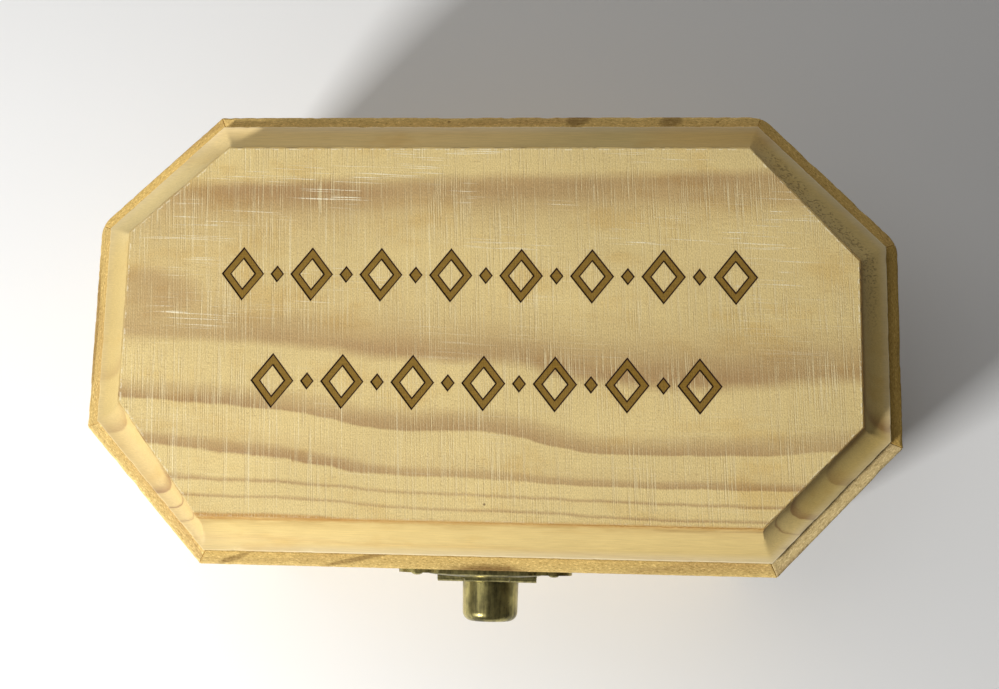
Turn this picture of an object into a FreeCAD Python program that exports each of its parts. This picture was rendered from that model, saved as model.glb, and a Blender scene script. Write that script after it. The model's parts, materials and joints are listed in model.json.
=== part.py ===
import FreeCAD, Part
import Sketcher
import math
import os

# Eight-sided wooden keepsake box with a moulded lid.
# Origin at the middle of the underside, +X along the long side, +Y towards the hinges,
# +Z up, millimetres. The front, with its clasp, faces -Y.

SIZES = {
    # plan of the box, and what each cut corner takes off along its length and across it
    "box_length": 160.0,
    "box_width": 90.8,
    "front_left_along": 24.5,
    "front_left_across": 26.4,
    "front_right_along": 24.0,
    "front_right_across": 24.9,
    "back_right_along": 25.9,
    "back_right_across": 25.9,
    "back_left_along": 23.9,
    "back_left_across": 22.9,
    # walls and boards
    "wall": 7.0,
    "body_height": 42.0,
    "lid_frame_height": 14.7,
    "lid_seam": 0.3,
    "arris_round": 0.6,
    "base_thickness": 4.0,
    "base_rebate": 3.0,
    "base_play": 0.1,
    # moulded panel on top of the lid
    "panel_thickness": 8.0,
    "panel_setback": 2.7,
    "cove_radius": 6.2,
    "panel_round": 0.4,
    # corner cuts that the cutter ran to, told as cuts of the box, because it was guided by hand
    "cove_front_left_along": 21.3,
    "cove_front_left_across": 27.9,
    "cove_front_right_along": 23.7,
    "cove_front_right_across": 24.5,
    "cove_back_right_along": 25.4,
    "cove_back_right_across": 27.8,
    "cove_back_left_along": 24.6,
    "cove_back_left_across": 22.4,
    # back hinges, two alike, each set in from its end of the back wall
    "hinge_inset": 18.0,
    "hinge_width": 18.0,
    "hinge_reach": 9.5,
    "hinge_sheet": 0.8,
    "hinge_barrel": 2.8,
    "hinge_pin": 1.3,
    "hinge_knuckle": 6.0,
    "hinge_corner": 1.2,
    "hinge_nail_side": 5.8,
    "hinge_nail_rise": 5.6,
    # clasp plate on the lid and the hasp that hangs from it
    "clasp_rise": 1.8,
    "clasp_reach": 10.6,
    "clasp_sheet": 0.8,
    "clasp_barrel": 2.4,
    "clasp_barrel_length": 20.0,
    "clasp_pin": 1.2,
    "clasp_knuckle": 9.0,
    "clasp_corner": 1.4,
    "clasp_ear": 3.6,
    "clasp_nail_side": 13.6,
    "clasp_nail_rise": 5.4,
    "clasp_dome_width": 23.0,
    "clasp_dome_height": 6.8,
    "clasp_dome_rise": 0.75,
    "hasp_sheet": 0.7,
    "hasp_shoulder": 3.6,
    "hasp_end_radius": 7.8,
    "knob_drop": 10.0,
    "knob_diameter": 11.8,
    "knob_length": 9.3,
    "knob_taper": 1.2,
    "knob_round": 1.9,
    "knob_root": 0.6,
    "knob_wall": 0.6,
    # catch on the body
    "catch_width": 27.0,
    "catch_height": 13.0,
    "catch_sheet": 0.8,
    "catch_corner": 1.6,
    "catch_nail_side": 11.2,
    "catch_nail_rise": 3.9,
    "stud_diameter": 8.8,
    "stud_neck": 7.2,
    "stud_height": 3.6,
    "stud_head": 1.6,
    "stud_round": 0.7,
    # running gaps and nail holes in the metal
    "pin_play": 0.05,
    "knuckle_gap": 0.3,
    "nail_hole": 1.2,
}

doc = FreeCAD.newDocument("KeepsakeBox")
sheet = doc.addObject("Spreadsheet::Sheet", "Sizes")
for row, (alias, number) in enumerate(SIZES.items(), 1):
    sheet.set(f"A{row}", alias)
    sheet.set(f"B{row}", str(number))
    sheet.setAlias(f"B{row}", alias)
doc.recompute()

CORNERS = {"front_left": ("-", "-"), "front_right": ("", "-"),
           "back_right": ("", ""), "back_left": ("-", "")}
SPLIT = "Sizes.body_height"
LID_FOOT = "(Sizes.body_height + Sizes.lid_seam)"
LID_RIM = "(Sizes.body_height + Sizes.lid_seam + Sizes.lid_frame_height)"
PARTS = []


def new_body(label):
    body = doc.addObject("PartDesign::Body", label)
    body.Label = label
    PARTS.append(body)
    return body


def place(body, x, y, z, turn="0"):
    """Bind the turn about Z and the position to the sheet."""
    up = FreeCAD.Vector(0, 0, 1)
    body.Placement = FreeCAD.Placement(FreeCAD.Vector(), FreeCAD.Rotation(up, 1.0))
    body.setExpression("Placement.Rotation.Angle", turn)
    for axis, formula in zip("xyz", (x, y, z)):
        body.setExpression(f"Placement.Base.{axis}", formula)


def new_sketch(body, name, role, lift=None):
    sketch = body.newObject("Sketcher::SketchObject", name)
    planes = [item for item in body.Origin.OriginFeatures if item.Role == role]
    sketch.AttachmentSupport = (planes[0], [""])
    sketch.MapMode = "FlatFace"
    if lift:
        sketch.setExpression("AttachmentOffset.Base.z", lift)
    return sketch


def pin_point(sketch, line, end, x, y):
    """Hold one end of a line, or a circle's centre, at two distances from the origin."""
    point = sketch.getPoint(line, end)
    for kind, formula, start in (("DistanceX", x, point.x), ("DistanceY", y, point.y)):
        number = sketch.addConstraint(Sketcher.Constraint(kind, -1, 1, line, end, start))
        sketch.setExpression(f"Constraints[{number}]", formula)


def draw_loop(sketch, corners):
    """Closed loop of straight lines through corners given as pairs of formulas."""
    first = sketch.GeometryCount
    count = len(corners)
    turn = 2 * math.pi / count
    ring = [FreeCAD.Vector(10 * math.cos(k * turn), 10 * math.sin(k * turn), 0)
            for k in range(count)]
    for k in range(count):
        sketch.addGeometry(Part.LineSegment(ring[k], ring[(k + 1) % count]))
    for k in range(count):
        following = first + (k + 1) % count
        sketch.addConstraint(Sketcher.Constraint("Coincident", first + k, 2, following, 1))
    for k, (x, y) in enumerate(corners):
        pin_point(sketch, first + k, 1, x, y)


def draw_box(sketch, left, right, low, high):
    draw_loop(sketch, [(left, low), (right, low), (right, high), (left, high)])


def draw_circle(sketch, x, y, diameter):
    centre = FreeCAD.Vector(0, 0, 0)
    ring = sketch.addGeometry(Part.Circle(centre, FreeCAD.Vector(0, 0, 1), 5))
    pin_point(sketch, ring, 3, x, y)
    number = sketch.addConstraint(Sketcher.Constraint("Diameter", ring, 10))
    sketch.setExpression(f"Constraints[{number}]", diameter)


def pad(body, sketch, length, midplane=False, reverse=False, taper=None):
    feature = body.newObject("PartDesign::Pad", sketch.Name + "_pad")
    feature.Profile = sketch
    feature.setExpression("Length", length)
    feature.Midplane = midplane
    feature.Reversed = reverse
    if taper:
        feature.setExpression("TaperAngle", taper)
    doc.recompute()
    return feature


def pocket(body, sketch, depth=None, reverse=False):
    """Cut to a depth, or through the whole piece on both sides, and see that it cuts."""
    before = body.Shape.Volume
    feature = body.newObject("PartDesign::Pocket", sketch.Name + "_pocket")
    feature.Profile = sketch
    if depth:
        feature.setExpression("Length", depth)
        feature.Reversed = reverse
    else:
        feature.Type = "ThroughAll"
        feature.Midplane = True
    doc.recompute()
    if body.Shape.Volume > before - 1e-3:
        raise RuntimeError(f"{body.Label}: {sketch.Name} cuts nothing")
    return feature


def round_edges(body, radius, chosen):
    """Fillet the edges whose middle point passes the test."""
    names = [f"Edge{k}" for k, edge in enumerate(body.Shape.Edges, 1)
             if chosen(edge, edge.CenterOfMass)]
    base = body.Tip
    feature = body.newObject("PartDesign::Fillet", "round")
    feature.Base = (base, names)
    feature.setExpression("Radius", radius)
    doc.recompute()
    return feature


def size(alias):
    return float(sheet.get(alias))


def mitre(corner, long_wall):
    """Tangent of the mitre between a corner board and the long or the short wall beside it."""
    along, across = f"Sizes.{corner}_along", f"Sizes.{corner}_across"
    slope = f"{across} / {along}" if long_wall else f"{along} / {across}"
    return f"tan(atan({slope}) / 2)"


def octagon(inset, cuts=""):
    """The eight corners of the plan, moved in by an inset, anticlockwise from front left, with
    the box's corner cuts or with others that a prefix names."""
    half_x, half_y = "Sizes.box_length / 2", "Sizes.box_width / 2"
    points = []
    for corner, (sx, sy) in CORNERS.items():
        along = f"Sizes.{cuts}{corner}_along + {inset} * {mitre(cuts + corner, True)}"
        across = f"Sizes.{cuts}{corner}_across + {inset} * {mitre(cuts + corner, False)}"
        on_long_wall = (f"{sx}({half_x} - ({along}))", f"{sy}({half_y} - {inset})")
        on_short_wall = (f"{sx}({half_x} - {inset})", f"{sy}({half_y} - ({across}))")
        pair = [on_long_wall, on_short_wall]
        points += pair[::-1] if corner in ("front_left", "back_right") else pair
    return points


def walls():
    """Each wall of the plan, anticlockwise: the turn of its outer face, its length, the mitre
    at its two ends, and the middle of that face."""
    half_x, half_y = "Sizes.box_length / 2", "Sizes.box_width / 2"
    table = {}
    for name, turn, whole, legs, first, last in (
            ("front", 0, "length", "along", "front_left", "front_right"),
            ("right", 90, "width", "across", "front_right", "back_right"),
            ("back", 180, "length", "along", "back_right", "back_left"),
            ("left", 270, "width", "across", "back_left", "front_left")):
        start, stop = f"Sizes.{first}_{legs}", f"Sizes.{last}_{legs}"
        long_wall = legs == "along"
        x, y = {"front": (f"({start} - {stop}) / 2", f"-{half_y}"),
                "right": (half_x, f"({start} - {stop}) / 2"),
                "back": (f"({stop} - {start}) / 2", half_y),
                "left": (f"-{half_x}", f"({stop} - {start}) / 2")}[name]
        table[name] = (f"{turn}", f"(Sizes.box_{whole} - {start} - {stop})",
                       mitre(first, long_wall), mitre(last, long_wall), x, y)
    for corner, (sx, sy) in CORNERS.items():
        along, across = f"Sizes.{corner}_along", f"Sizes.{corner}_across"
        lean = f"atan({across} / {along})"
        turn = {"front_left": f"360 deg - {lean}", "front_right": lean,
                "back_right": f"180 deg - {lean}", "back_left": f"180 deg + {lean}"}[corner]
        leaves_long_wall = corner in ("front_right", "back_left")
        table[corner] = (turn, f"sqrt({along}^2 + {across}^2)",
                         mitre(corner, leaves_long_wall), mitre(corner, not leaves_long_wall),
                         f"{sx}({half_x} - {along} / 2)", f"{sy}({half_y} - {across} / 2)")
    return table


def mitred_board(label, wall, height, foot):
    """A wall board with its outer face on local y = 0."""
    turn, length, first_mitre, last_mitre, x, y = wall
    body = new_body(label)
    plan = new_sketch(body, label + "_plan", "XY_Plane")
    half = f"{length} / 2"
    draw_loop(plan, [(f"-{half}", "0"), (half, "0"),
                     (f"{half} - Sizes.wall * {last_mitre}", "Sizes.wall"),
                     (f"-{half} + Sizes.wall * {first_mitre}", "Sizes.wall")])
    pad(body, plan, height)
    place(body, x, y, foot, turn)
    return body


for name, wall in walls().items():
    board = mitred_board(f"body_board_{name}", wall, "Sizes.body_height", "0")
    strip = new_sketch(board, f"rebate_{name}", "XY_Plane")
    reach = f"({wall[1]} / 2 + 1)"
    draw_box(strip, f"-{reach}", reach, "Sizes.wall - Sizes.base_rebate", "Sizes.wall + 1")
    pocket(board, strip, "Sizes.base_thickness", reverse=True)

for name, wall in walls().items():
    board = mitred_board(f"lid_board_{name}", wall, "Sizes.lid_frame_height", LID_FOOT)
    top = size("lid_frame_height")
    round_edges(board, "Sizes.arris_round",
                lambda edge, mid: abs(mid.y) < 1e-6 and abs(mid.z - top) < 1e-6)

base = new_body("base_panel")
base_plan = new_sketch(base, "base_plan", "XY_Plane")
draw_loop(base_plan, octagon("(Sizes.wall - Sizes.base_rebate + Sizes.base_play)"))
pad(base, base_plan, "Sizes.base_thickness")
place(base, "0", "0", "0")

# The lid's panel: a thick board whose edge is moulded to a quarter-round hollow.
panel = new_body("lid_panel")
panel_plan = new_sketch(panel, "panel_plan", "XY_Plane")
draw_loop(panel_plan, octagon("Sizes.panel_setback"))
pad(panel, panel_plan, "Sizes.panel_thickness")
cove_path = new_sketch(panel, "cove_path", "XY_Plane")
draw_loop(cove_path, octagon("Sizes.panel_setback", "cove_"))
cutter = new_sketch(panel, "cove_cutter", "YZ_Plane")
draw_circle(cutter, "-(Sizes.box_width / 2 - Sizes.panel_setback)", "Sizes.panel_thickness",
            "2 * Sizes.cove_radius")
doc.recompute()
solid = panel.Shape.Volume
cove = panel.newObject("PartDesign::SubtractivePipe", "cove")
cove.Profile = cutter
cove.Spine = (cove_path, [])
cove.Transition = "Right corner"
doc.recompute()
if panel.Shape.Volume > solid - 1:
    raise RuntimeError("lid_panel: the cove cuts nothing")
top = size("panel_thickness")
round_edges(panel, "Sizes.panel_round", lambda edge, mid: abs(mid.z - top) < 1e-6)
place(panel, "0", "0", LID_RIM)


# Rolled sheet pieces lie flat on a wall with their pin beside it. Locally the pin's axis is X,
# +Y points away from the wall, and the wall's face is at y = -stand(prefix).
def stand(prefix):
    return f"(Sizes.{prefix}_barrel / 2 + Sizes.knuckle_gap)"


def add_barrel(body, label, prefix, length):
    ring = new_sketch(body, label + "_barrel", "YZ_Plane")
    draw_circle(ring, "0", "0", f"Sizes.{prefix}_barrel")
    pad(body, ring, length, midplane=True)


def bore_barrel(body, label, prefix):
    ring = new_sketch(body, label + "_bore", "YZ_Plane")
    draw_circle(ring, "0", "0", f"Sizes.{prefix}_pin + 2 * Sizes.pin_play")
    pocket(body, ring)


def free_knuckles(body, label, prefix, length, middle):
    """Cut the barrel back where the other piece's knuckles turn."""
    room = f"(Sizes.{prefix}_barrel / 2 + Sizes.knuckle_gap)"
    half = f"(Sizes.{prefix}_knuckle / 2)"
    cut = new_sketch(body, label + "_slots", "XZ_Plane")
    if middle:
        far = f"({length} / 2 + 1)"
        draw_box(cut, half, far, f"-{room}", room)
        draw_box(cut, f"-{far}", f"-{half}", f"-{room}", room)
    else:
        wide = f"({half} + Sizes.knuckle_gap)"
        draw_box(cut, f"-{wide}", wide, f"-{room}", room)
    pocket(body, cut)


def nail_holes(body, label, spots):
    holes = new_sketch(body, label + "_nails", "XZ_Plane")
    for x, z in spots:
        draw_circle(holes, x, z, "Sizes.nail_hole")
    pocket(body, holes)


def add_ears(body, label, prefix):
    """Arms across a plate, each ending in a round ear about its nail."""
    side, rise, ear = (f"Sizes.{prefix}_{name}" for name in ("nail_side", "nail_rise", "ear"))
    arms = new_sketch(body, label + "_arms", "XZ_Plane", stand(prefix))
    draw_box(arms, f"-{side}", side, f"{rise} - {ear}", f"{rise} + {ear}")
    pad(body, arms, f"Sizes.{prefix}_sheet", reverse=True)
    ends = new_sketch(body, label + "_ears", "XZ_Plane", stand(prefix))
    for sign in ("-", ""):
        draw_circle(ends, f"{sign}{side}", rise, f"2 * {ear}")
    pad(body, ends, f"Sizes.{prefix}_sheet", reverse=True)


def rolled_leaf(label, prefix, width, barrel_length, up, middle, ears=False):
    """A plate on the wall, above or below its pin, with its edge rolled round the pin."""
    sign = "" if up else "-"
    body = new_body(label)
    strip = new_sketch(body, label + "_strip", "YZ_Plane")
    face = stand(prefix)
    draw_box(strip, f"-{face}", f"-{face} + Sizes.{prefix}_sheet", "0", f"{sign}Sizes.{prefix}_reach")
    pad(body, strip, width, midplane=True)
    if ears:
        add_ears(body, label, prefix)
    add_barrel(body, label, prefix, barrel_length)
    free_knuckles(body, label, prefix, barrel_length, middle)
    bore_barrel(body, label, prefix)
    side, rise = f"Sizes.{prefix}_nail_side", f"{sign}Sizes.{prefix}_nail_rise"
    nail_holes(body, label, [(f"-{side}", rise), (side, rise)])
    far = size(prefix + "_reach")
    round_edges(body, f"Sizes.{prefix}_corner",
                lambda edge, mid: abs(abs(mid.z) - far) < 1e-6 and edge.Length < far / 4)
    return body


def pin(label, prefix, length):
    body = new_body(label)
    ring = new_sketch(body, label + "_ring", "YZ_Plane")
    draw_circle(ring, "0", "0", f"Sizes.{prefix}_pin")
    pad(body, ring, length, midplane=True)
    return body


for side, sign in (("left", "-"), ("right", "")):
    spot = (f"{sign}(Sizes.box_length / 2 - Sizes.back_{side}_along - Sizes.hinge_inset)",
            f"Sizes.box_width / 2 + {stand('hinge')}", f"{SPLIT} + Sizes.lid_seam / 2")
    for name, up in (("lid_leaf", True), ("body_leaf", False)):
        leaf = rolled_leaf(f"hinge_{side}_{name}", "hinge", "Sizes.hinge_width",
                           "Sizes.hinge_width", up, middle=up)
        place(leaf, *spot)
    place(pin(f"hinge_{side}_pin", "hinge", "Sizes.hinge_width"), *spot)

# The clasp stands on the front, so its pieces turn half a circle to face -Y.
clasp_spot = ("0", f"-(Sizes.box_width / 2 + {stand('clasp')})",
              f"{LID_FOOT} + Sizes.clasp_rise")
plate = rolled_leaf("clasp_plate", "clasp", "Sizes.clasp_barrel_length",
                    "Sizes.clasp_barrel_length", up=True, middle=False, ears=True)
# its middle is pressed out to a shallow oval dome
dome = plate.newObject("PartDesign::AdditiveEllipsoid", "clasp_dome")
dome.AttachmentSupport = ([f for f in plate.Origin.OriginFeatures if f.Role == "XY_Plane"][0], [""])
dome.MapMode = "FlatFace"
dome.setExpression("AttachmentOffset.Base.y", f"Sizes.clasp_sheet - {stand('clasp')}")
dome.setExpression("AttachmentOffset.Base.z", "Sizes.clasp_nail_rise")
dome.setExpression("Radius1", "Sizes.clasp_dome_height / 2")
dome.setExpression("Radius2", "Sizes.clasp_dome_width / 2")
dome.setExpression("Radius3", "Sizes.clasp_dome_rise")
doc.recompute()
place(plate, *clasp_spot, "180")
place(pin("clasp_pin", "clasp", "Sizes.clasp_barrel_length"), *clasp_spot, "180")

# Hasp: a tongue that hangs from the pin over the catch, with a hollow knob drawn out of it.
hasp = new_body("clasp_hasp")
back_face = f"(Sizes.catch_sheet + Sizes.knuckle_gap - {stand('clasp')})"
tongue = new_sketch(hasp, "hasp_tongue", "XZ_Plane", f"-{back_face}")
half_top = "(Sizes.clasp_barrel_length / 2)"
draw_loop(tongue, [(f"-{half_top}", "0"), (f"-{half_top}", "-Sizes.hasp_shoulder"),
                   ("-Sizes.hasp_end_radius", "-Sizes.knob_drop"),
                   ("Sizes.hasp_end_radius", "-Sizes.knob_drop"),
                   (half_top, "-Sizes.hasp_shoulder"), (half_top, "0")])
pad(hasp, tongue, "Sizes.hasp_sheet", reverse=True)
end = new_sketch(hasp, "hasp_end", "XZ_Plane", f"-{back_face}")
draw_circle(end, "0", "-Sizes.knob_drop", "2 * Sizes.hasp_end_radius")
pad(hasp, end, "Sizes.hasp_sheet", reverse=True)
add_barrel(hasp, "clasp_hasp", "clasp", "Sizes.clasp_barrel_length")
free_knuckles(hasp, "clasp_hasp", "clasp", "Sizes.clasp_barrel_length", middle=True)
bore_barrel(hasp, "clasp_hasp", "clasp")
knob = new_sketch(hasp, "hasp_knob", "XZ_Plane", f"-({back_face} + Sizes.hasp_sheet)")
draw_circle(knob, "0", "-Sizes.knob_drop", "Sizes.knob_diameter")
pad(hasp, knob, "Sizes.knob_length", reverse=True, taper="-Sizes.knob_taper")
hollow = new_sketch(hasp, "hasp_hollow", "XZ_Plane", f"-{back_face}")
draw_circle(hollow, "0", "-Sizes.knob_drop", "Sizes.knob_diameter - 2 * Sizes.knob_wall")
pocket(hasp, hollow, "Sizes.hasp_sheet + Sizes.knob_length - Sizes.knob_wall")
knob_foot = size("catch_sheet") + size("hasp_sheet") - size("clasp_barrel") / 2
knob_face = knob_foot + size("knob_length")
knob_end = knob_face - size("knob_wall")
knob_tip = size("knob_diameter") / 2
knob_tip -= size("knob_length") * math.tan(math.radians(size("knob_taper")))


def ring_at(depth, radius):
    """Picks the full circle of a radius that lies at a depth."""
    def test(edge, mid):
        return (isinstance(edge.Curve, Part.Circle) and abs(mid.y - depth) < 1e-6
                and abs(edge.Curve.Radius - radius) < 1e-3 and edge.isClosed())
    return test


round_edges(hasp, "Sizes.knob_round - Sizes.knob_wall",
            ring_at(knob_end, size("knob_diameter") / 2 - size("knob_wall")))
round_edges(hasp, "Sizes.knob_round", ring_at(knob_face, knob_tip))
round_edges(hasp, "Sizes.knob_root", ring_at(knob_foot, size("knob_diameter") / 2))
place(hasp, *clasp_spot, "180")

# Catch: a plate on the body with a riveted stud that the knob closes over.
catch_spot = ("0", "-Sizes.box_width / 2", f"{LID_FOOT} + Sizes.clasp_rise - Sizes.knob_drop")
catch = new_body("catch_plate")
blank = new_sketch(catch, "catch_blank", "XZ_Plane")
half_wide, half_high = "Sizes.catch_width / 2", "Sizes.catch_height / 2"
draw_box(blank, f"-{half_wide}", half_wide, f"-{half_high}", half_high)
pad(catch, blank, "Sizes.catch_sheet", reverse=True)
nail_holes(catch, "catch", [(f"{sx}Sizes.catch_nail_side", f"{sz}Sizes.catch_nail_rise")
                            for sx in ("-", "") for sz in ("-", "")])
round_edges(catch, "Sizes.catch_corner",
            lambda edge, mid: abs(abs(mid.x) - size("catch_width") / 2) < 1e-6
            and edge.Length < size("catch_height") / 3)
place(catch, *catch_spot, "180")

stud = new_body("catch_stud")
turning = new_sketch(stud, "stud_turning", "YZ_Plane")
neck, head = "Sizes.stud_neck / 2", "Sizes.stud_diameter / 2"
foot, tip = "Sizes.catch_sheet", "(Sizes.catch_sheet + Sizes.stud_height)"
draw_loop(turning, [(foot, "0"), (tip, "0"), (tip, head),
                    (f"{tip} - Sizes.stud_head", head), (f"{tip} - Sizes.stud_head", neck),
                    (foot, neck)])
turned = stud.newObject("PartDesign::Revolution", "stud_revolution")
turned.Profile = turning
turned.ReferenceAxis = (turning, ["H_Axis"])
turned.Angle = 360
doc.recompute()
stud_face = size("catch_sheet") + size("stud_height")
round_edges(stud, "Sizes.stud_round", lambda edge, mid: abs(mid.y - stud_face) < 1e-6)
place(stud, *catch_spot, "180")
doc.recompute()

failed = [item.Label for item in doc.Objects if {"Invalid", "Error"} & set(item.State)]
if failed:
    raise RuntimeError(f"failed: {failed}")
os.makedirs("parts", exist_ok=True)
for body in PARTS:
    shape = body.Shape
    if shape.isNull() or not shape.isValid() or len(shape.Solids) != 1:
        raise RuntimeError(f"{body.Label} is not one valid solid")
    shape.exportStep(f"parts/{body.Label}.step")
    print(f"{body.Label}: {shape.Volume:.1f} mm3")
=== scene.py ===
"""Looks of the octagonal pine keepsake box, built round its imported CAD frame.

Settings and meshes are in metres, and lengths inside the shaders are in millimetres. The frame
is the CAD model's: +X along the long side, +Y from the clasp to the hinges, +Z up, the floor at 0.
"""

import json
import math

import bmesh
import bpy
from bpy.props import FloatProperty, FloatVectorProperty, IntProperty, PointerProperty
from mathutils import Euler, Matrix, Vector, noise

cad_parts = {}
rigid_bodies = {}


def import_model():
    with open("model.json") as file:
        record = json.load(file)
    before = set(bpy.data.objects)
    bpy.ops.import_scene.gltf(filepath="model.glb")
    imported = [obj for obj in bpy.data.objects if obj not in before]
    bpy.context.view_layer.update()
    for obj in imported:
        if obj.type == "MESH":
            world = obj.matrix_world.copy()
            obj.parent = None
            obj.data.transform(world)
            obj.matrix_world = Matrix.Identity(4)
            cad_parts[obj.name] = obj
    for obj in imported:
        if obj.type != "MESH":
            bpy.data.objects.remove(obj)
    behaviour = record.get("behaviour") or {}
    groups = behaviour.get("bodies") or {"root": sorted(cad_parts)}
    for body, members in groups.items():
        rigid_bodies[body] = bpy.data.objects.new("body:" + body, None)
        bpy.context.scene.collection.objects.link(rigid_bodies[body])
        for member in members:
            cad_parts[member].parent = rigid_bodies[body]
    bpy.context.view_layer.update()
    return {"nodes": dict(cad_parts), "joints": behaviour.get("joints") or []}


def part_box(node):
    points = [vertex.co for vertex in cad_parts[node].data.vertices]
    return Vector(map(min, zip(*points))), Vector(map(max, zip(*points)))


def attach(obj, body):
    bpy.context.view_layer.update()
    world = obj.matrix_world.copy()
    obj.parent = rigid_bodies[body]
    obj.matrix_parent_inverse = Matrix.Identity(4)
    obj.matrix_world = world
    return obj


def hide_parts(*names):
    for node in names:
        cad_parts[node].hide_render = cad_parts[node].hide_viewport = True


bl_info = {
    "name": "Octagonal Keepsake Box",
    "version": (1, 0, 0),
    "blender": (4, 5, 0),
    "location": "View3D > Sidebar > Keepsake Box",
    "description": "Finishes the octagonal pine box: grain, carving, brass, nails and studio",
    "category": "Object",
}

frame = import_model()

MM = 0.001
NEAR = 0.02 * MM
LONG_SIDE = 8.0 * MM
SENSOR_MM, PHOTO_WIDTH_PX, FOCAL_PX = 36.0, 999.0, 1200.0
WALLS = ("front", "front_right", "right", "back_right", "back", "back_left", "left", "front_left")
METAL_NODES = [
    "hinge_left_lid_leaf", "hinge_left_body_leaf", "hinge_left_pin",
    "hinge_right_lid_leaf", "hinge_right_body_leaf", "hinge_right_pin",
    "clasp_plate", "clasp_pin", "clasp_hasp", "catch_plate", "catch_stud",
]


# Settings


def length(name, description, millimetres):
    """A length property: shown in the scene's units, kept in metres."""
    return FloatProperty(name=name, description=description, default=millimetres * MM,
                         min=0.0, unit="LENGTH", precision=5)


def colour(name, description, rgb):
    """A linear colour property."""
    return FloatVectorProperty(name=name, description=description, default=rgb,
                               size=3, min=0.0, max=1.0, subtype="COLOR")


class PineSettings(bpy.types.PropertyGroup):
    """Colours of the pine and the size of its saw marks."""

    early: colour("Earlywood", "Pale wood between the growth rings", (0.715, 0.552, 0.240))
    late: colour("Latewood", "Darker wood of the growth rings", (0.41, 0.255, 0.108))
    resin: colour("Resin line", "Narrow orange line of a growth ring", (0.50, 0.260, 0.060))
    board: colour("Board", "Pale wood of the walls and the base", (0.64, 0.46, 0.18))
    saw_line: length("Saw line", "Width of a fine saw mark on the lid", 0.23)
    saw_depth: length("Saw mark depth", "Depth of the saw marks on the lid", 0.02)
    cove: length("Cove", "Radius of the hollow along the panel's edge", 6.2)


class OrnamentSettings(bpy.types.PropertyGroup):
    """Sizes of the two engraved rows of lozenges."""

    half_height: length("Half height", "Half the height of a hollow lozenge", 5.2)
    half_width: length("Half width", "Half the width of a hollow lozenge", 4.1)
    rim: FloatProperty(name="Hollow", description="Hollow part of a large lozenge",
                       default=0.58, min=0.1, max=0.9, subtype="FACTOR")
    bead: FloatProperty(name="Bead", description="Small lozenge as a share of a large one",
                        default=0.30, min=0.1, max=0.9, subtype="FACTOR")
    pitch: length("Pitch", "Distance between two hollow lozenges", 13.6)
    depth: length("Depth", "Depth of the engraving", 0.16)
    back_y: length("Back row", "Place of the back row from the middle", 10.8)
    front_y: length("Front row", "Place of the front row from the middle, towards the clasp", 10.1)
    back_count: IntProperty(name="Back count", description="Hollow lozenges in the back row",
                            default=8, min=1)
    front_count: IntProperty(name="Front count", description="Hollow lozenges in the front row",
                             default=7, min=1)
    burn: colour("Burnt wood", "Floor of the engraving", (0.226, 0.124, 0.013))
    scorch: colour("Scorched edge", "Edge of the engraving", (0.020, 0.004, 0.0005))


class BrassSettings(bpy.types.PropertyGroup):
    """Colours of the old brass and the sizes of its nails."""

    bright: colour("Worn brass", "Where the finish has rubbed off", (0.57, 0.492, 0.188))
    dark: colour("Dark finish", "Darkened brass", (0.12, 0.105, 0.045))
    head: length("Nail head", "Diameter of a nail's head", 2.3)
    head_rise: length("Nail head rise", "Height of a nail's head", 0.55)
    shank: length("Nail shank", "Diameter of a nail's shank", 1.1)
    shank_length: length("Nail length", "Length of a nail under its head", 4.5)
    sheet: length("Sheet", "Thickness of the sheet that the nails hold", 0.8)
    hinge_side: length("Hinge nail side", "Nails from the middle of a hinge, along it", 5.8)
    hinge_rise: length("Hinge nail rise", "Nails above and below the hinge's pin", 5.6)
    clasp_side: length("Clasp nail side", "Nails from the middle of the clasp's plate", 13.6)
    clasp_rise: length("Clasp nail rise", "Nails of the clasp's plate above its pin", 5.4)
    catch_side: length("Catch nail side", "Nails from the middle of the catch, along it", 11.2)
    catch_rise: length("Catch nail rise", "Nails above and below the stud", 3.9)


class StudioSettings(bpy.types.PropertyGroup):
    """The floor, the lamps and the camera."""

    floor: colour("Floor", "Colour of the floor", (0.797, 0.797, 0.790))
    key_power: FloatProperty(name="Key lamp", description="Power of the lamp at the front left",
                             default=3.62, min=0.0, unit="POWER")
    key_size: length("Key size", "Width of the lamp, which sets how soft the shadow is", 84.0)
    key_place: FloatVectorProperty(name="Key place", description="Where the lamp hangs",
                                   default=(-0.332, -0.318, 0.343), size=3, subtype="XYZ",
                                   unit="LENGTH")
    fill_power: FloatProperty(name="Fill lamp", description="Power of the wide lamp at the back left",
                              default=2.35, min=0.0, unit="POWER")
    fill_size: length("Fill size", "Width of the wide lamp", 900.0)
    fill_place: FloatVectorProperty(name="Fill place", description="Where the wide lamp hangs",
                                    default=(-0.275, 0.375, 0.585), size=3, subtype="XYZ",
                                    unit="LENGTH")
    sky: FloatProperty(name="Sky", description="Strength of the light from all round",
                       default=0.10, min=0.0)
    camera_place: FloatVectorProperty(name="Camera place", description="Where the camera hangs",
                                      default=(0.01892, -0.03639, 0.29079), size=3,
                                      subtype="XYZ", unit="LENGTH")
    camera_turn: FloatVectorProperty(
        name="Camera turn", description="The camera's turn from looking straight down",
        default=(math.radians(8.579), math.radians(3.862), math.radians(1.262)), size=3,
        subtype="EULER", unit="ROTATION")
    camera_lens: FloatProperty(name="Lens", description="Focal length in millimetres",
                               default=FOCAL_PX / PHOTO_WIDTH_PX * SENSOR_MM, min=1.0)


SETTINGS = {
    "box_pine": PineSettings,
    "box_ornament": OrnamentSettings,
    "box_brass": BrassSettings,
    "box_studio": StudioSettings,
}


# Shader parts

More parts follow.
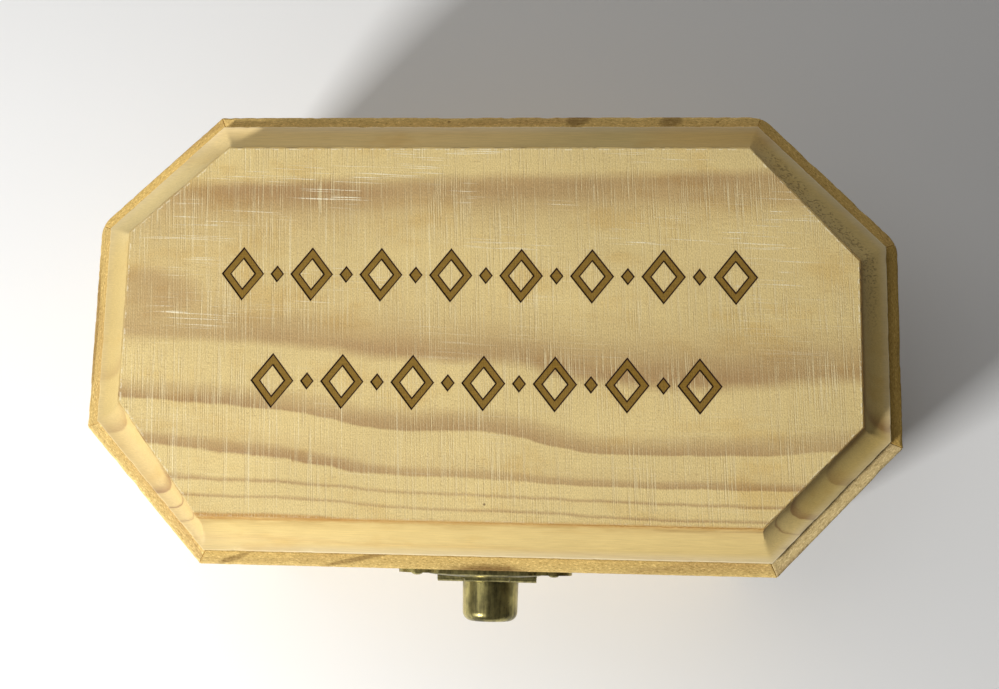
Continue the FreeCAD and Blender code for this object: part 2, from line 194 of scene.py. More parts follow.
CLOUD_SHIFT = (1.0, 1.7, 2.3)
SPECK_SHIFT = (1.0, 1.3, 2.9)
NO_SHIFT = (0.0, 0.0, 0.0)
SAME_SIZE = (1.0, 1.0, 1.0)


class Shading:
    """Builds one material's nodes. Its methods return sockets; lengths are in millimetres."""

    def __init__(self, name):
        self.material = bpy.data.materials.new(name)
        self.material.use_nodes = True
        self.tree = self.material.node_tree
        self.tree.nodes.clear()
        self.surface = self.tree.nodes.new("ShaderNodeBsdfPrincipled")
        output = self.tree.nodes.new("ShaderNodeOutputMaterial")
        self.tree.links.new(self.surface.outputs["BSDF"], output.inputs["Surface"])

    def put(self, socket, value):
        """Links a socket or sets a number."""
        if isinstance(value, bpy.types.NodeSocket):
            self.tree.links.new(value, socket)
        elif value is not None:
            socket.default_value = value

    def node(self, kind, values=(), **settings):
        """Adds a node, changes its settings and fills its inputs in their order."""
        made = self.tree.nodes.new(kind)
        for key, value in settings.items():
            setattr(made, key, value)
        for socket, value in zip(made.inputs, values):
            self.put(socket, value)
        return made

    def mapping(self, vector, kind="POINT", shift=NO_SHIFT, turn=0.0, size=SAME_SIZE):
        """A vector that is scaled, turned about Z and moved. The kind TEXTURE undoes the same."""
        values = (vector, shift, (0.0, 0.0, turn), size)
        return self.node("ShaderNodeMapping", values, vector_type=kind).outputs["Vector"]

    def place(self, turn=0.0):
        """Object coordinates in millimetres, turned about Z."""
        source = self.node("ShaderNodeTexCoord").outputs["Object"]
        return self.mapping(source, turn=turn, size=(1 / MM,) * 3)

    def split(self, vector):
        """The three parts of a vector."""
        return tuple(self.node("ShaderNodeSeparateXYZ", (vector,)).outputs)

    def join(self, x, y, z):
        """A vector from three numbers."""
        return self.node("ShaderNodeCombineXYZ", (x, y, z)).outputs[0]

    def math(self, operation, *values):
        """One step of arithmetic."""
        return self.node("ShaderNodeMath", values, operation=operation).outputs[0]

    def add(self, a, b):
        return self.math("ADD", a, b)

    def subtract(self, a, b):
        return self.math("SUBTRACT", a, b)

    def times(self, a, b):
        return self.math("MULTIPLY", a, b)

    def smaller(self, a, b):
        return self.math("MINIMUM", a, b)

    def larger(self, a, b):
        return self.math("MAXIMUM", a, b)

    def size(self, a):
        """A number without its sign."""
        return self.math("ABSOLUTE", a)

    def ease(self, value, start, end, low=0.0, high=1.0, way="SMOOTHSTEP"):
        """Moves smoothly from low to high while value goes from start to end."""
        values = (value, start, end, low, high)
        return self.node("ShaderNodeMapRange", values, interpolation_type=way).outputs["Result"]

    def ease_straight(self, value, start, end, low=0.0, high=1.0):
        """Moves evenly from low to high while value goes from start to end."""
        return self.ease(value, start, end, low, high, "LINEAR")

    def texture(self, kind, vector, size, shift):
        """A texture node whose pattern is stretched to a size and moved."""
        node = self.node(kind)
        self.put(node.inputs["Vector"], self.mapping(vector, shift=shift, size=[1.0 / s for s in size]))
        node.inputs["Scale"].default_value = 1.0
        return node

    def cloud(self, vector, size, detail=2.0, roughness=0.5, seed=0.0):
        """Noise from 0 to 1 whose patches have about that size in x, y and z."""
        node = self.texture("ShaderNodeTexNoise", vector, size, [seed * part for part in CLOUD_SHIFT])
        node.inputs["Detail"].default_value = detail
        node.inputs["Roughness"].default_value = roughness
        return node.outputs["Fac"]

    def clouds(self, vector, noises, seed=0.0):
        """A dict of noises by name, from a table of (size, detail, roughness, seed)."""
        return {name: self.cloud(vector, size, detail, roughness, seed + own_seed)
                for name, (size, detail, roughness, own_seed) in noises.items()}

    def specks(self, vector, size, radius, share, seed=0.0):
        """1 inside scattered specks: one in each cell of that size, kept in that share of them."""
        node = self.texture("ShaderNodeTexVoronoi", vector, size, [seed * part for part in SPECK_SHIFT])
        kept = self.math("LESS_THAN", self.split(node.outputs["Color"])[0], share)
        return self.times(self.ease(node.outputs["Distance"], radius, radius * 0.6), kept)

    def smudge(self, vector, middle, half_size, turn=0.0):
        """1 in a soft-edged oval round a point, turned by an angle, and 0 outside it."""
        local = self.mapping(vector, "TEXTURE", middle, turn, half_size)
        away = self.node("ShaderNodeVectorMath", (local,), operation="LENGTH")
        return self.ease(away.outputs["Value"], 1.25, 0.55)

    def inside(self, x, y, outline):
        """How far a point is inside an outline's nearest side, in millimetres."""
        nearest = None
        for start, end in zip(outline, outline[1:] + outline[:1]):
            way = (end - start).normalized()
            offset = (way.y * start.x - way.x * start.y) / MM
            gap = self.math("MULTIPLY_ADD", x, -way.y, offset)
            gap = self.math("MULTIPLY_ADD", y, way.x, gap)
            nearest = gap if nearest is None else self.smaller(nearest, gap)
        return nearest

    def profile(self, value, start, end, points):
        """A smooth curve through points of (value, height), heights from 0 to 1."""
        node = self.node("ShaderNodeFloatCurve", (1.0, self.ease_straight(value, start, end)))
        curve = node.mapping.curves[0]
        places = [((v - start) / (end - start), h) for v, h in points]
        curve.points[0].location = places[0]
        curve.points[1].location = places[-1]
        for place in places[1:-1]:
            curve.points.new(*place)
        node.mapping.update()
        return node.outputs["Value"]

    def rings(self, distance, start, end, stops):
        """Darkness of the wood at a distance across the rings, from (distance, darkness) stops."""
        node = self.node("ShaderNodeValToRGB", (self.ease_straight(distance, start, end),))
        elements = node.color_ramp.elements
        while len(elements) > 1:
            elements.remove(elements[-1])
        for index, (stop_distance, darkness) in enumerate(stops):
            place = (stop_distance - start) / (end - start)
            stop = elements[0] if index == 0 else elements.new(place)
            stop.position = place
            stop.color = (darkness, darkness, darkness, 1.0)
        return node.outputs["Color"]

    def blend(self, amount, a, b, way="MIX"):
        """Mixes colour b into colour a."""
        node = self.node("ShaderNodeMix", (amount,), data_type="RGBA", blend_type=way,
                         clamp_factor=True)
        for socket, value in ((node.inputs[6], a), (node.inputs[7], b)):
            self.put(socket, (*value, 1.0) if isinstance(value, tuple) else value)
        return node.outputs[2]

    def tint(self, amount, colour_now, factor):
        """Multiplies a colour by another one."""
        return self.blend(amount, colour_now, factor, "MULTIPLY")

    def shade(self, colour_now, amount):
        """Darkens or lightens a colour by a factor that changes over the surface."""
        node = self.node("ShaderNodeVectorMath", (colour_now,), operation="SCALE")
        self.put(node.inputs["Scale"], amount)
        return node.outputs[0]

    def relief(self, height, depth_mm, under=None):
        """A bump of that depth, laid over another one."""
        node = self.node("ShaderNodeBump")
        node.inputs["Distance"].default_value = depth_mm * MM
        node.inputs["Strength"].default_value = 1.0
        self.put(node.inputs["Height"], height)
        self.put(node.inputs["Normal"], under)
        return node.outputs["Normal"]

    def finish(self, colour_now, roughness, normal, specular):
        """Sets the surface's colour, roughness, normal and specular level. Returns the material."""
        self.put(self.surface.inputs["Base Color"], colour_now)
        self.put(self.surface.inputs["Roughness"], roughness)
        self.put(self.surface.inputs["Normal"], normal)
        self.surface.inputs["Specular IOR Level"].default_value = specular
        return self.material


def triple(value):
    """A colour property as a plain tuple."""
    return tuple(value)


# The lid's panel

PITH_Y, PITH_DEPTH = 12.0, 40.0
PANEL_FOOT_MM, PANEL_TOP_MM = (corner.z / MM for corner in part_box("lid_panel"))
RING_START, RING_END = 38.0, 68.0
RING_STOPS = (
    (38.0, 0.10), (40.2, 0.05), (41.2, 0.30), (42.3, 0.70), (43.2, 0.90), (43.6, 0.85), (44.5, 0.06),
    (47.0, 0.03), (48.4, 0.08), (49.2, 0.45), (50.2, 0.78), (51.1, 0.95), (51.3, 0.05),
    (53.2, 0.06), (55.2, 0.24), (55.8, 0.74), (56.5, 0.95), (56.7, 0.02),
    (58.35, 0.05), (58.75, 0.95), (59.0, 0.03),
    (60.4, 0.04), (60.85, 0.92), (61.1, 0.04),
    (62.8, 0.08), (63.40, 0.85), (63.65, 0.05),
    (65.2, 0.05), (65.5, 0.18), (65.7, 0.05),
)
SWAY_START, SWAY_END, SWAY_REACH = -80.0, 80.0, 10.0
SWAY = ((-80, 0.96), (-70, 0.96), (-43, 0.86), (-30, 0.70), (-17, 0.52), (1.5, 0.54), (14, 0.33),
        (27, 0.19), (51, 0.29), (66, 0.43), (80, 0.45))
RING_DRIFT = 0.014
SAW_LEAN, TORN_LEAN = 0.045, 0.035
# Added to a distance where a line must not be drawn at all
FAR_MM = 99.0

# Noises of the panel by name: patch size in millimetres, detail, roughness, seed
PANEL_NOISES = {
    "wander": ((42, 17, 17), 2.0, 0.5, 3.1),
    "tremble": ((7, 2.4, 2.4), 3.0, 0.6, 7.7),
    "tone": ((30, 14, 14), 3.0, 0.55, 5.0),
    "patchy": ((38, 9, 9), 2.0, 0.5, 11.0),
    "warm": ((13, 7, 7), 3.0, 0.6, 21.0),
    "fibre": ((5.0, 0.16, 0.16), 4.0, 0.62, 2.0),
    "saw areas": ((9.0, 15.0, 9.0), 1.0, 0.5, 17.0),
    "saw gaps": ((0.35, 3.2, 3.0), 2.0, 0.6, 19.0),
    "grit": ((0.17, 0.42, 0.30), 2.0, 0.7, 41.0),
    "torn areas": ((22.0, 7.0, 9.0), 1.0, 0.5, 33.0),
    "dashes": ((1.2, 0.20, 0.22), 2.0, 0.5, 31.0),
    "dashed areas": ((10.0, 6.0, 6.0), 1.0, 0.5, 35.0),
    "stained": ((9.0, 3.0, 3.0), 2.0, 0.6, 43.0),
    "tears": ((0.7, 0.34, 0.5), 1.0, 0.5, 47.0),
    "ragged": ((0.9, 0.9, 0.9), 2.0, 0.6, 51.0),
    "burnt lines": ((6.0, 0.14, 3.0), 2.0, 0.5, 37.0),
}

# Colours of the panel's marks, and the tints that multiply the wood's colour
WARM_TINT = (0.90, 0.80, 0.62)
# Painted shade on the side of each saw mark
SAW_SHADOW_TINT = (0.50, 0.41, 0.27)
# Pale fibre with painted light along each saw mark
SAW_LIGHT = (0.93, 0.79, 0.45)
SAW_BOLD = (0.95, 0.85, 0.55)
TORN_FIBRE = (0.96, 0.88, 0.64)
BROWN_DASH = (0.33, 0.20, 0.07)
DARK_SPOT = (0.12, 0.06, 0.02)
COVE_TINT = (0.84, 0.79, 0.65)
# Painted shade under the top arris
ARRIS_SHADE_TINT = (0.50, 0.38, 0.20)
COVE_TEAR = (0.20, 0.125, 0.05)
# Ragged line along the arris: partly a dirty edge and partly painted shade
ARRIS_DIRT_AND_SHADE = (0.17, 0.095, 0.028)
SPLINTER = (0.93, 0.84, 0.60)
BURNT_RIDGE = (0.34, 0.20, 0.05)
BURN_HALO = (0.42, 0.27, 0.09)

# Places on the panel: the middle and the half size of a soft oval, in millimetres
BROWN_PATCH = ((-67.0, 5.0, 65.0), (15.0, 8.0, 30.0))
TORN_AREAS = (
    ((56.0, 25.4, 65.0), (10.0, 2.6, 9.0)),
    ((31.3, 33.9, 65.0), (8.0, 1.4, 9.0)),
    ((-57.0, 3.5, 65.0), (9.0, 4.0, 9.0)),
    ((-34.0, 30.5, 65.0), (22.0, 2.4, 9.0)),
)
# Painted sheen at the cove's foot: a wide greyish band of painted sky reflection, then a narrow painted
# highlight on the foot's rounded edge. Each gives where it starts and ends, how strong it is, and its
# colour
FOOT_SHEEN = (
    (1.9, 0.2, 0.34, (0.70, 0.62, 0.46)),
    (0.30, 0.12, 0.40, (0.88, 0.78, 0.54)),
)
# Painted light and shade on the coves: ovals with their turn, and the factor that lightens or darkens
# the cove there
COVE_LIGHT_AND_SHADE = (
    (((68.0, -25.5, 61.0), (13.0, 6.0, 9.0), math.radians(44.0)), (0.76, 0.74, 0.64)),
    (((78.0, -4.0, 61.0), (9.0, 20.0, 9.0), 0.0), (1.0, 0.97, 0.88)),
    (((-77.0, 0.0, 61.0), (9.0, 30.0, 9.0), 0.0), (0.87, 0.87, 0.88)),
    (((-66.0, -31.0, 61.0), (20.0, 8.0, 9.0), math.radians(-44.0)), (0.86, 0.84, 0.86)),
    (((-25.0, 42.0, 61.0), (44.0, 6.0, 9.0), 0.0), (1.28, 1.24, 1.26)),
    (((45.0, 42.0, 61.0), (16.0, 6.0, 9.0), 0.0), (1.04, 0.96, 0.86)),
    (((-66.0, 31.0, 61.0), (20.0, 8.0, 9.0), math.radians(42.0)), (1.02, 1.06, 1.22)),
)


class PanelPoint:
    """A point of the panel in its shader: where it is, how near the edges, and its noises."""

    def __init__(self, s, foot, arris):
        self.p = s.place()
        self.x, self.y, self.z = s.split(self.p)
        self.from_foot = s.inside(self.x, self.y, foot)
        self.from_arris = s.times(s.inside(self.x, self.y, arris), -1.0)
        self.below = s.ease(self.z, PANEL_FOOT_MM + 0.4, PANEL_FOOT_MM + 0.1)
        self.upper = s.ease(self.z, PANEL_TOP_MM - 1.0, PANEL_TOP_MM - 0.5)
        self.flat = s.larger(s.ease(self.from_arris, 0.10, -0.12), self.below)
        self.noise = s.clouds(self.p, PANEL_NOISES)


def saw_marks(s, at, pine):
    """Fine saw lines that lean a little: the comb of them, light ones of pale fibre and painted light,
    their sides in painted shade, and bold ones.
    """
    width = pine.saw_line / MM
    leaning = s.add(at.x, s.times(at.y, SAW_LEAN))
    lines = s.join(leaning, at.y, at.z)
    beside = s.join(s.add(leaning, 0.55 * width), at.y, at.z)
    fine = ((width, 17.0, 60.0), 1.0, 0.5, 13.0)
    comb = s.cloud(lines, *fine)
    # The same noise moved beside each line marks its side in painted shade
    shaded_side = s.cloud(beside, *fine)
    areas = s.ease(at.noise["saw areas"], 0.38, 0.60, 0.50, 1.0)
    breaks = s.times(areas, s.ease(at.noise["saw gaps"], 0.34, 0.52, 0.25, 1.0))
    light = s.times(s.ease(comb, 0.525, 0.63), breaks)
    dark = s.times(s.ease(shaded_side, 0.525, 0.62), breaks)
    bold = s.ease(s.cloud(lines, (1.3 * width, 34.0, 60.0), 1.0, 0.5, 23.0), 0.655, 0.72)
    bold = s.times(bold, s.ease(at.x, -20.0, 30.0, 1.0, 0.35))
    return comb, light, dark, s.times(bold, breaks)


def pith_distance(s, at, comb):
    """Distance from the pith under the board, which sways along it and trembles."""
    sway = s.times(s.subtract(s.profile(at.x, SWAY_START, SWAY_END, SWAY), 0.5), SWAY_REACH)
    where = s.times(s.ease(at.y, -31.0, -20.0, 0.12, 1.0), s.ease(at.y, -16.0, 12.0, 1.0, 0.15))
    wander = s.times(s.subtract(at.noise["wander"], 0.5), 2.2)
    tremble = s.times(s.subtract(at.noise["tremble"], 0.5), 0.62)
    across = s.add(s.subtract(s.subtract(at.y, PITH_Y), s.times(sway, where)), wander)
    down = s.subtract(at.z, PANEL_TOP_MM - PITH_DEPTH)
    radius = s.math("SQRT", s.add(s.times(across, across), s.times(down, down)))
    radius = s.add(s.subtract(radius, s.times(at.x, RING_DRIFT)), tremble)
    return s.add(radius, s.times(s.times(s.subtract(comb, 0.5), 0.25), at.flat))


def grain_colour(s, at, pine, comb):
    """The wood's colour: growth rings, thin on the coves, a resin line, and fibres."""
    radius = pith_distance(s, at, comb)
    tone = at.noise["tone"]
    patchy = s.ease(at.noise["patchy"], 0.25, 0.75, 0.72, 1.15)
    brown = s.times(s.smudge(at.p, *BROWN_PATCH), s.ease(tone, 0.30, 0.62, 0.35, 0.8))
    ring = s.times(s.rings(radius, RING_START, RING_END, RING_STOPS), patchy)
    ring = s.larger(ring, s.times(brown, at.flat))
    front_cove = s.times(s.ease(at.y, -36.4, -37.6), s.ease(s.size(at.x), 58.0, 55.0))
    front_cove = s.times(front_cove, s.ease(at.from_arris, 0.2, 1.0))
    thin = s.times(s.math("POWER", ring, 2.6), s.ease(front_cove, 0.0, 1.0, 1.0, 0.12))
    thin = s.times(thin, s.ease(at.y, 2.0, 10.0, 1.0, 0.30))
    thin = s.times(thin, s.ease(at.x, -76.0, -66.0, 0.45, 1.0))
    ring = s.smaller(s.blend(at.flat, thin, ring), 1.0)
    wood = s.blend(ring, triple(pine.early), triple(pine.late))
    resin = s.times(s.ease(radius, 62.9, 63.3), s.ease(radius, 63.75, 63.5))
    resin = s.times(resin, s.ease(front_cove, 0.0, 1.0, 0.7, 0.1))
    wood = s.blend(resin, wood, triple(pine.resin))
    wood = s.shade(wood, s.ease_straight(tone, 0.2, 0.8, 0.93, 1.07))
    wood = s.tint(s.times(s.ease(at.noise["warm"], 0.50, 0.74), 0.6), wood, WARM_TINT)
    streaky = s.ease_straight(at.noise["fibre"], 0.25, 0.75, -0.055, 0.055)
    streaky = s.times(streaky, s.ease_straight(at.flat, 0.0, 1.0, 2.2, 0.8))
    return s.shade(wood, s.add(1.0, streaky))


def sawn_top(s, at, wood, marks):
    """The flat top's colour with saw marks in painted light and shade, grit, torn fibres and spots, and
    where it is torn.
    """
    comb, light_line, saw_shade, bold = marks
    # Painted shade beside each saw line, then pale fibre with painted light on the line itself
    top = s.tint(s.times(saw_shade, 0.66), wood, SAW_SHADOW_TINT)
    top = s.blend(s.times(light_line, 0.50), top, SAW_LIGHT)
    top = s.blend(s.times(bold, 0.60), top, SAW_BOLD)
    top = s.shade(top, s.ease_straight(at.noise["grit"], 0.25, 0.75, 0.79, 1.21))
    zone = s.times(s.ease(at.noise["torn areas"], 0.50, 0.60), s.ease(at.y, -8.0, 26.0, 0.15, 1.0))
    for area in TORN_AREAS:
        zone = s.larger(zone, s.smudge(at.p, *area))
    slanting = s.join(at.x, s.add(at.y, s.times(at.x, TORN_LEAN)), at.z)
    torn = s.ease(s.cloud(slanting, (13.0, 0.21, 3.0), 1.0, 0.5, 29.0), 0.635, 0.69)
    torn = s.times(s.times(torn, zone), s.ease(comb, 0.38, 0.50, 0.25, 1.0))
    top = s.blend(s.times(torn, 0.80), top, TORN_FIBRE)
    dashed = s.ease(at.noise["dashed areas"], 0.45, 0.62)
    dashes = s.times(s.ease(at.noise["dashes"], 0.60, 0.70), dashed)
    top = s.blend(s.times(dashes, 0.32), top, BROWN_DASH)
    spots = s.specks(at.p, (9.0, 9.0, 9.0), 0.035, 0.30, seed=4.0)
    return s.blend(s.times(spots, 0.75), top, DARK_SPOT), torn


def coved_edge(s, at, wood):
    """The coves' colour: smooth and deeper, with painted sheen at the foot, painted light and shade
    oval by oval, painted shade under the arris, and where their grain is torn out.
    """
    smooth = s.tint(0.5, wood, COVE_TINT)
    # Painted sheen and highlight along the cove's foot, weaker on the left
    not_left = s.ease(at.x, -58.0, -30.0, 0.25, 1.0)
    for start, end, amount, pale in FOOT_SHEEN:
        sheen = s.ease(at.from_foot, start, end, 0.0, amount)
        smooth = s.blend(s.times(sheen, not_left), smooth, pale)
    # Painted light and shade on the coves, one oval at a time
    for oval, tint in COVE_LIGHT_AND_SHADE:
        smooth = s.tint(s.smudge(at.p, *oval), smooth, tint)
    # Painted shade under the arris, in patches, deepest on the right side
    shade_patches = s.ease(at.noise["stained"], 0.35, 0.65, 0.10, 0.50)
    arris_shade = s.times(s.ease(at.from_arris, 2.4, 0.2), shade_patches)
    right_shade = s.times(s.ease(at.from_arris, 1.9, 0.7), s.ease(at.x, 60.0, 70.0, 0.0, 0.95))
    arris_shade = s.larger(arris_shade, s.times(right_shade, s.ease(at.y, 20.0, 10.0, 0.35, 1.0)))
    smooth = s.tint(arris_shade, smooth, ARRIS_SHADE_TINT)
    back_right = s.times(s.ease(at.x, 50.0, 58.0), s.ease(at.y, -2.0, 16.0, 0.12, 1.0))
    hollow = s.times(s.ease(at.from_arris, 0.8, 1.8), s.ease(at.from_arris, 5.2, 4.0))
    tears = s.times(s.times(s.ease(at.noise["tears"], 0.55, 0.64), back_right), hollow)
    return s.blend(s.times(tears, 0.55), smooth, COVE_TEAR), tears


def arris_marks(s, at, pine, surface):
    """Adds a ragged dark line on the cove's side of the arris, partly a dirty edge and partly painted
    shade, and bright splinters on the top's.
    """
    ragged = at.noise["ragged"]
    rim = s.add(at.from_arris, s.times(s.subtract(ragged, 0.5), 0.7))
    rim = s.add(rim, s.times(at.below, FAR_MM))
    # The ragged line of dirt and painted shade is strongest towards the front right
    line = s.times(s.ease(rim, -0.06, 0.03), s.ease(rim, 0.30, 0.12))
    line = s.times(line, s.ease(s.subtract(at.x, at.y), -10.0, 80.0, 0.06, 0.70))
    surface = s.blend(line, surface, ARRIS_DIRT_AND_SHADE)
    front = s.times(s.ease(at.y, -35.5, -36.5), s.ease(s.size(at.x), 57.0, 52.0))
    front = s.times(front, s.times(s.ease(rim, -0.75, -0.10), s.ease(rim, 0.75, 0.10)))
    surface = s.blend(s.times(front, 0.62), surface, triple(pine.resin))
    splinters = s.times(s.ease(rim, -0.42, -0.14), s.ease(rim, 0.02, -0.08))
    splinters = s.times(splinters, s.ease(ragged, 0.48, 0.62, 0.0, 0.5))
    splinters = s.times(splinters, s.ease(at.y, -38.0, -30.0, 0.25, 1.0))
    return s.blend(splinters, surface, SPLINTER)


def row_distance(s, at, ornament, y_row, count):
    """How far a point is outside the lozenges of one row, in millimetres."""
    pitch = ornament.pitch / MM
    half_w, half_h = ornament.half_width / MM, ornament.half_height / MM
    slope = half_w * half_h / math.hypot(half_w, half_h)
    up = s.times(s.size(s.subtract(at.y, y_row)), 1 / half_h)
    start = -(count - 1) / 2 * pitch

    def reach(offset, last):
        """How far out of its lozenge's middle a point is; the lozenge's edge is at 1."""
        nearest = s.math("ROUND", s.math("DIVIDE", s.subtract(at.x, offset), pitch))
        nearest = s.larger(s.smaller(nearest, last), 0)
        along = s.size(s.subtract(at.x, s.add(s.times(nearest, pitch), offset)))
        return s.add(s.times(along, 1 / half_w), up)

    large = reach(start, count - 1)
    outside_rim = s.times(s.subtract(large, 1.0), slope)
    inside_rim = s.times(s.subtract(ornament.rim, large), slope)
    small = reach(start + pitch / 2, count - 2)
    bead = s.times(s.subtract(small, ornament.bead), slope)
    return s.smaller(s.larger(outside_rim, inside_rim), bead)


def burnt_rows(s, at, ornament, wood, light_line, surface):
    """Adds the engraving: a brown floor with fine burnt lines and a scorched edge, and its mask."""
    back = row_distance(s, at, ornament, ornament.back_y / MM, ornament.back_count)
    front = row_distance(s, at, ornament, -ornament.front_y / MM, ornament.front_count)
    away = s.add(s.smaller(back, front), s.ease(at.upper, 0.0, 1.0, FAR_MM, 0.0))
    floor = s.ease(away, 0.03, -0.03)
    edge = s.times(s.ease(away, -0.25, -0.10), s.ease(away, 0.15, 0.05))
    burnt = s.blend(0.10, triple(ornament.burn), s.shade(wood, 0.42))
    burnt = s.shade(burnt, s.ease_straight(at.noise["burnt lines"], 0.2, 0.8, 0.80, 1.20))
    burnt = s.blend(s.times(light_line, 0.14), burnt, BURNT_RIDGE)
    surface = s.blend(s.times(s.ease(away, 0.7, 0.0), 0.10), surface, BURN_HALO)
    surface = s.blend(floor, surface, burnt)
    return s.blend(edge, surface, triple(ornament.scorch)), s.larger(floor, edge)


def panel_wood(scene, foot, arris):
    """Flat-sawn pine with saw marks across it, two engraved rows and smooth coved edges."""
    pine, ornament = scene.box_pine, scene.box_ornament
    s = Shading("panel_wood")
    at = PanelPoint(s, foot, arris)
    marks = saw_marks(s, at, pine)
    comb, light_line = marks[:2]
    wood = grain_colour(s, at, pine, comb)
    top, torn = sawn_top(s, at, wood, marks)
    smooth, tears = coved_edge(s, at, wood)
    surface = arris_marks(s, at, pine, s.blend(at.flat, smooth, top))
    surface, burnt = burnt_rows(s, at, ornament, wood, light_line, surface)

    fibre = at.noise["fibre"]
    rough = s.larger(s.ease_straight(at.flat, 0.0, 1.0, 0.52, 0.56), s.times(burnt, 0.9))
    rough = s.add(rough, s.times(s.subtract(fibre, 0.5), 0.18))
    sawn = s.times(s.add(comb, s.times(torn, 0.5)), at.flat)
    normal = s.relief(sawn, pine.saw_depth / MM * 2.0)
    normal = s.relief(s.add(fibre, s.times(tears, -2.0)), 0.03, normal)
    normal = s.relief(s.times(at.noise["grit"], at.flat), 0.075, normal)
    return s.finish(surface, rough, normal, 0.24)


def meeting(p, d, q, e):
    """Where the lines p + d and q + e meet, in the plane."""
    t = ((q.x - p.x) * e.y - (q.y - p.y) * e.x) / (d.x * e.y - d.y * e.x)
    return p + d * t


def outline_at(node, z):
    """The eight corners of a CAD node's outline at a height, from its long straight sides."""
    level = {(round(v.co.x, 6), round(v.co.y, 6)) for v in frame["nodes"][node].data.vertices
             if abs(v.co.z - z) < NEAR}
    ring = [Vector(p) for p in sorted(level, key=lambda p: math.atan2(p[1], p[0]))]
    sides = []
    for p, q in zip(ring, ring[1:] + ring[:1]):
        if (q - p).length > LONG_SIDE:
            sides.append((p, (q - p).normalized()))
    if len(sides) != len(WALLS):
        raise RuntimeError(f"{node} has {len(sides)} long sides at {z} instead of {len(WALLS)}")
    return [meeting(*sides[i - 1], *sides[i]) for i in range(len(sides))]


def chips(place, kinds):
    """Depth in millimetres of an edge's chips at a place in metres.

    Each kind has a size in millimetres, the noise above which a chip starts, and its depth.
    """
    depth = 0.0
    for size_mm, threshold, deepest in kinds:
        height = noise.noise(Vector(place) / (size_mm * MM))
        depth += deepest * (max(0.0, height - threshold) / (1.0 - threshold))
    return depth


def soften(mesh, angle):
    """Shades a mesh smooth, apart from edges sharper than an angle in degrees."""
    mesh.shade_smooth()
    mesh.set_sharp_from_angle(angle=math.radians(angle))
    return mesh


def closed_mesh(name, rings, angle):
    """A closed shell of quads through rings of points, with a face over each end."""
    shape = bmesh.new()
    made = [[shape.verts.new(p) for p in ring] for ring in rings]
    for lower, upper in zip(made, made[1:]):
        count = len(lower)
        for i in range(count):
            j = (i + 1) % count
            shape.faces.new((lower[i], lower[j], upper[j], upper[i]))
    shape.faces.new(reversed(made[0]))
    shape.faces.new(made[-1])
    bmesh.ops.recalc_face_normals(shape, faces=shape.faces)
    mesh = bpy.data.meshes.new(name)
    shape.to_mesh(mesh)
    shape.free()
    return soften(mesh, angle)


def add_piece(name, mesh, body, replaced=()):
    """Puts a finished mesh in the scene, on its body."""
    piece = bpy.data.objects.new(name, mesh)
    bpy.context.scene.collection.objects.link(piece)
    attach(piece, body)
    if replaced:
        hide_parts(*replaced)


def panel_outlines():
    """The panel's outline at its foot and at its top, from the CAD."""
    return [outline_at("lid_panel", corner.z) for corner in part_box("lid_panel")]


PANEL_CHIPS = ((3.4, 0.20, 0.42), (1.0, 0.12, 0.26))
PANEL_STEP = 0.5 * MM
PANEL_SHARP = 32.0
LIP_ROUNDING = 0.15 * MM
LIP_STEPS, COVE_STEPS = 4, 18
CARVED_FACES_MIN = 1000


def panel_section(low, high, cove):
    """The panel's section from its foot to its top: inset, height and how worn it is there."""
    lip_z = high - cove
    section = [(0.0, low, 0.0), (0.0, low + 0.5 * MM, 0.0), (0.0, lip_z - 2 * LIP_ROUNDING, 0.2)]
    for step in range(LIP_STEPS):
        turn = math.radians(90.0 * step / (LIP_STEPS - 1))
        rise = lip_z - LIP_ROUNDING * (1 - math.sin(turn))
        section.append((LIP_ROUNDING * (1 - math.cos(turn)), rise, 0.6))
    for step in range(COVE_STEPS):
        turn = math.radians(3.0 + 84.0 * step / (COVE_STEPS - 1))
        section.append((cove * math.sin(turn), high - cove * math.cos(turn), 0.10))
    section.append((cove + 0.03 * MM, high - 0.10 * MM, 1.0))
    section.append((cove + 0.12 * MM, high, 1.0))
    return section


def panel_mesh(pine):
    """The panel with its cove and slightly worn edges, before it is engraved."""
    low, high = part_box("lid_panel")
    foot, top = panel_outlines()
    reach = min(p.y for p in top) - min(p.y for p in foot)
    counts = [max(16, round((b - a).length / PANEL_STEP)) for a, b in zip(foot, foot[1:] + foot[:1])]
    rings = []
    for inset, z, wear in panel_section(low.z, high.z, pine.cove):
        ring = []
        corners = [f.lerp(t, inset / reach) for f, t in zip(foot, top)]
        for a, b, count in zip(corners, corners[1:] + corners[:1], counts):
            out = Vector((b.y - a.y, a.x - b.x)).normalized()
            for i in range(count):
                p = a.lerp(b, i / count)
                fade = min(1.0, min(i, count - i) / 5.0)
                bite = wear * chips((p.x, p.y, z), PANEL_CHIPS) * MM * fade
                sink = 0.4 * bite if inset < pine.cove else 0.0
                ring.append((p.x - out.x * bite, p.y - out.y * bite, z - sink))
        rings.append(ring)
    return closed_mesh("lid_panel_carved", rings, PANEL_SHARP)


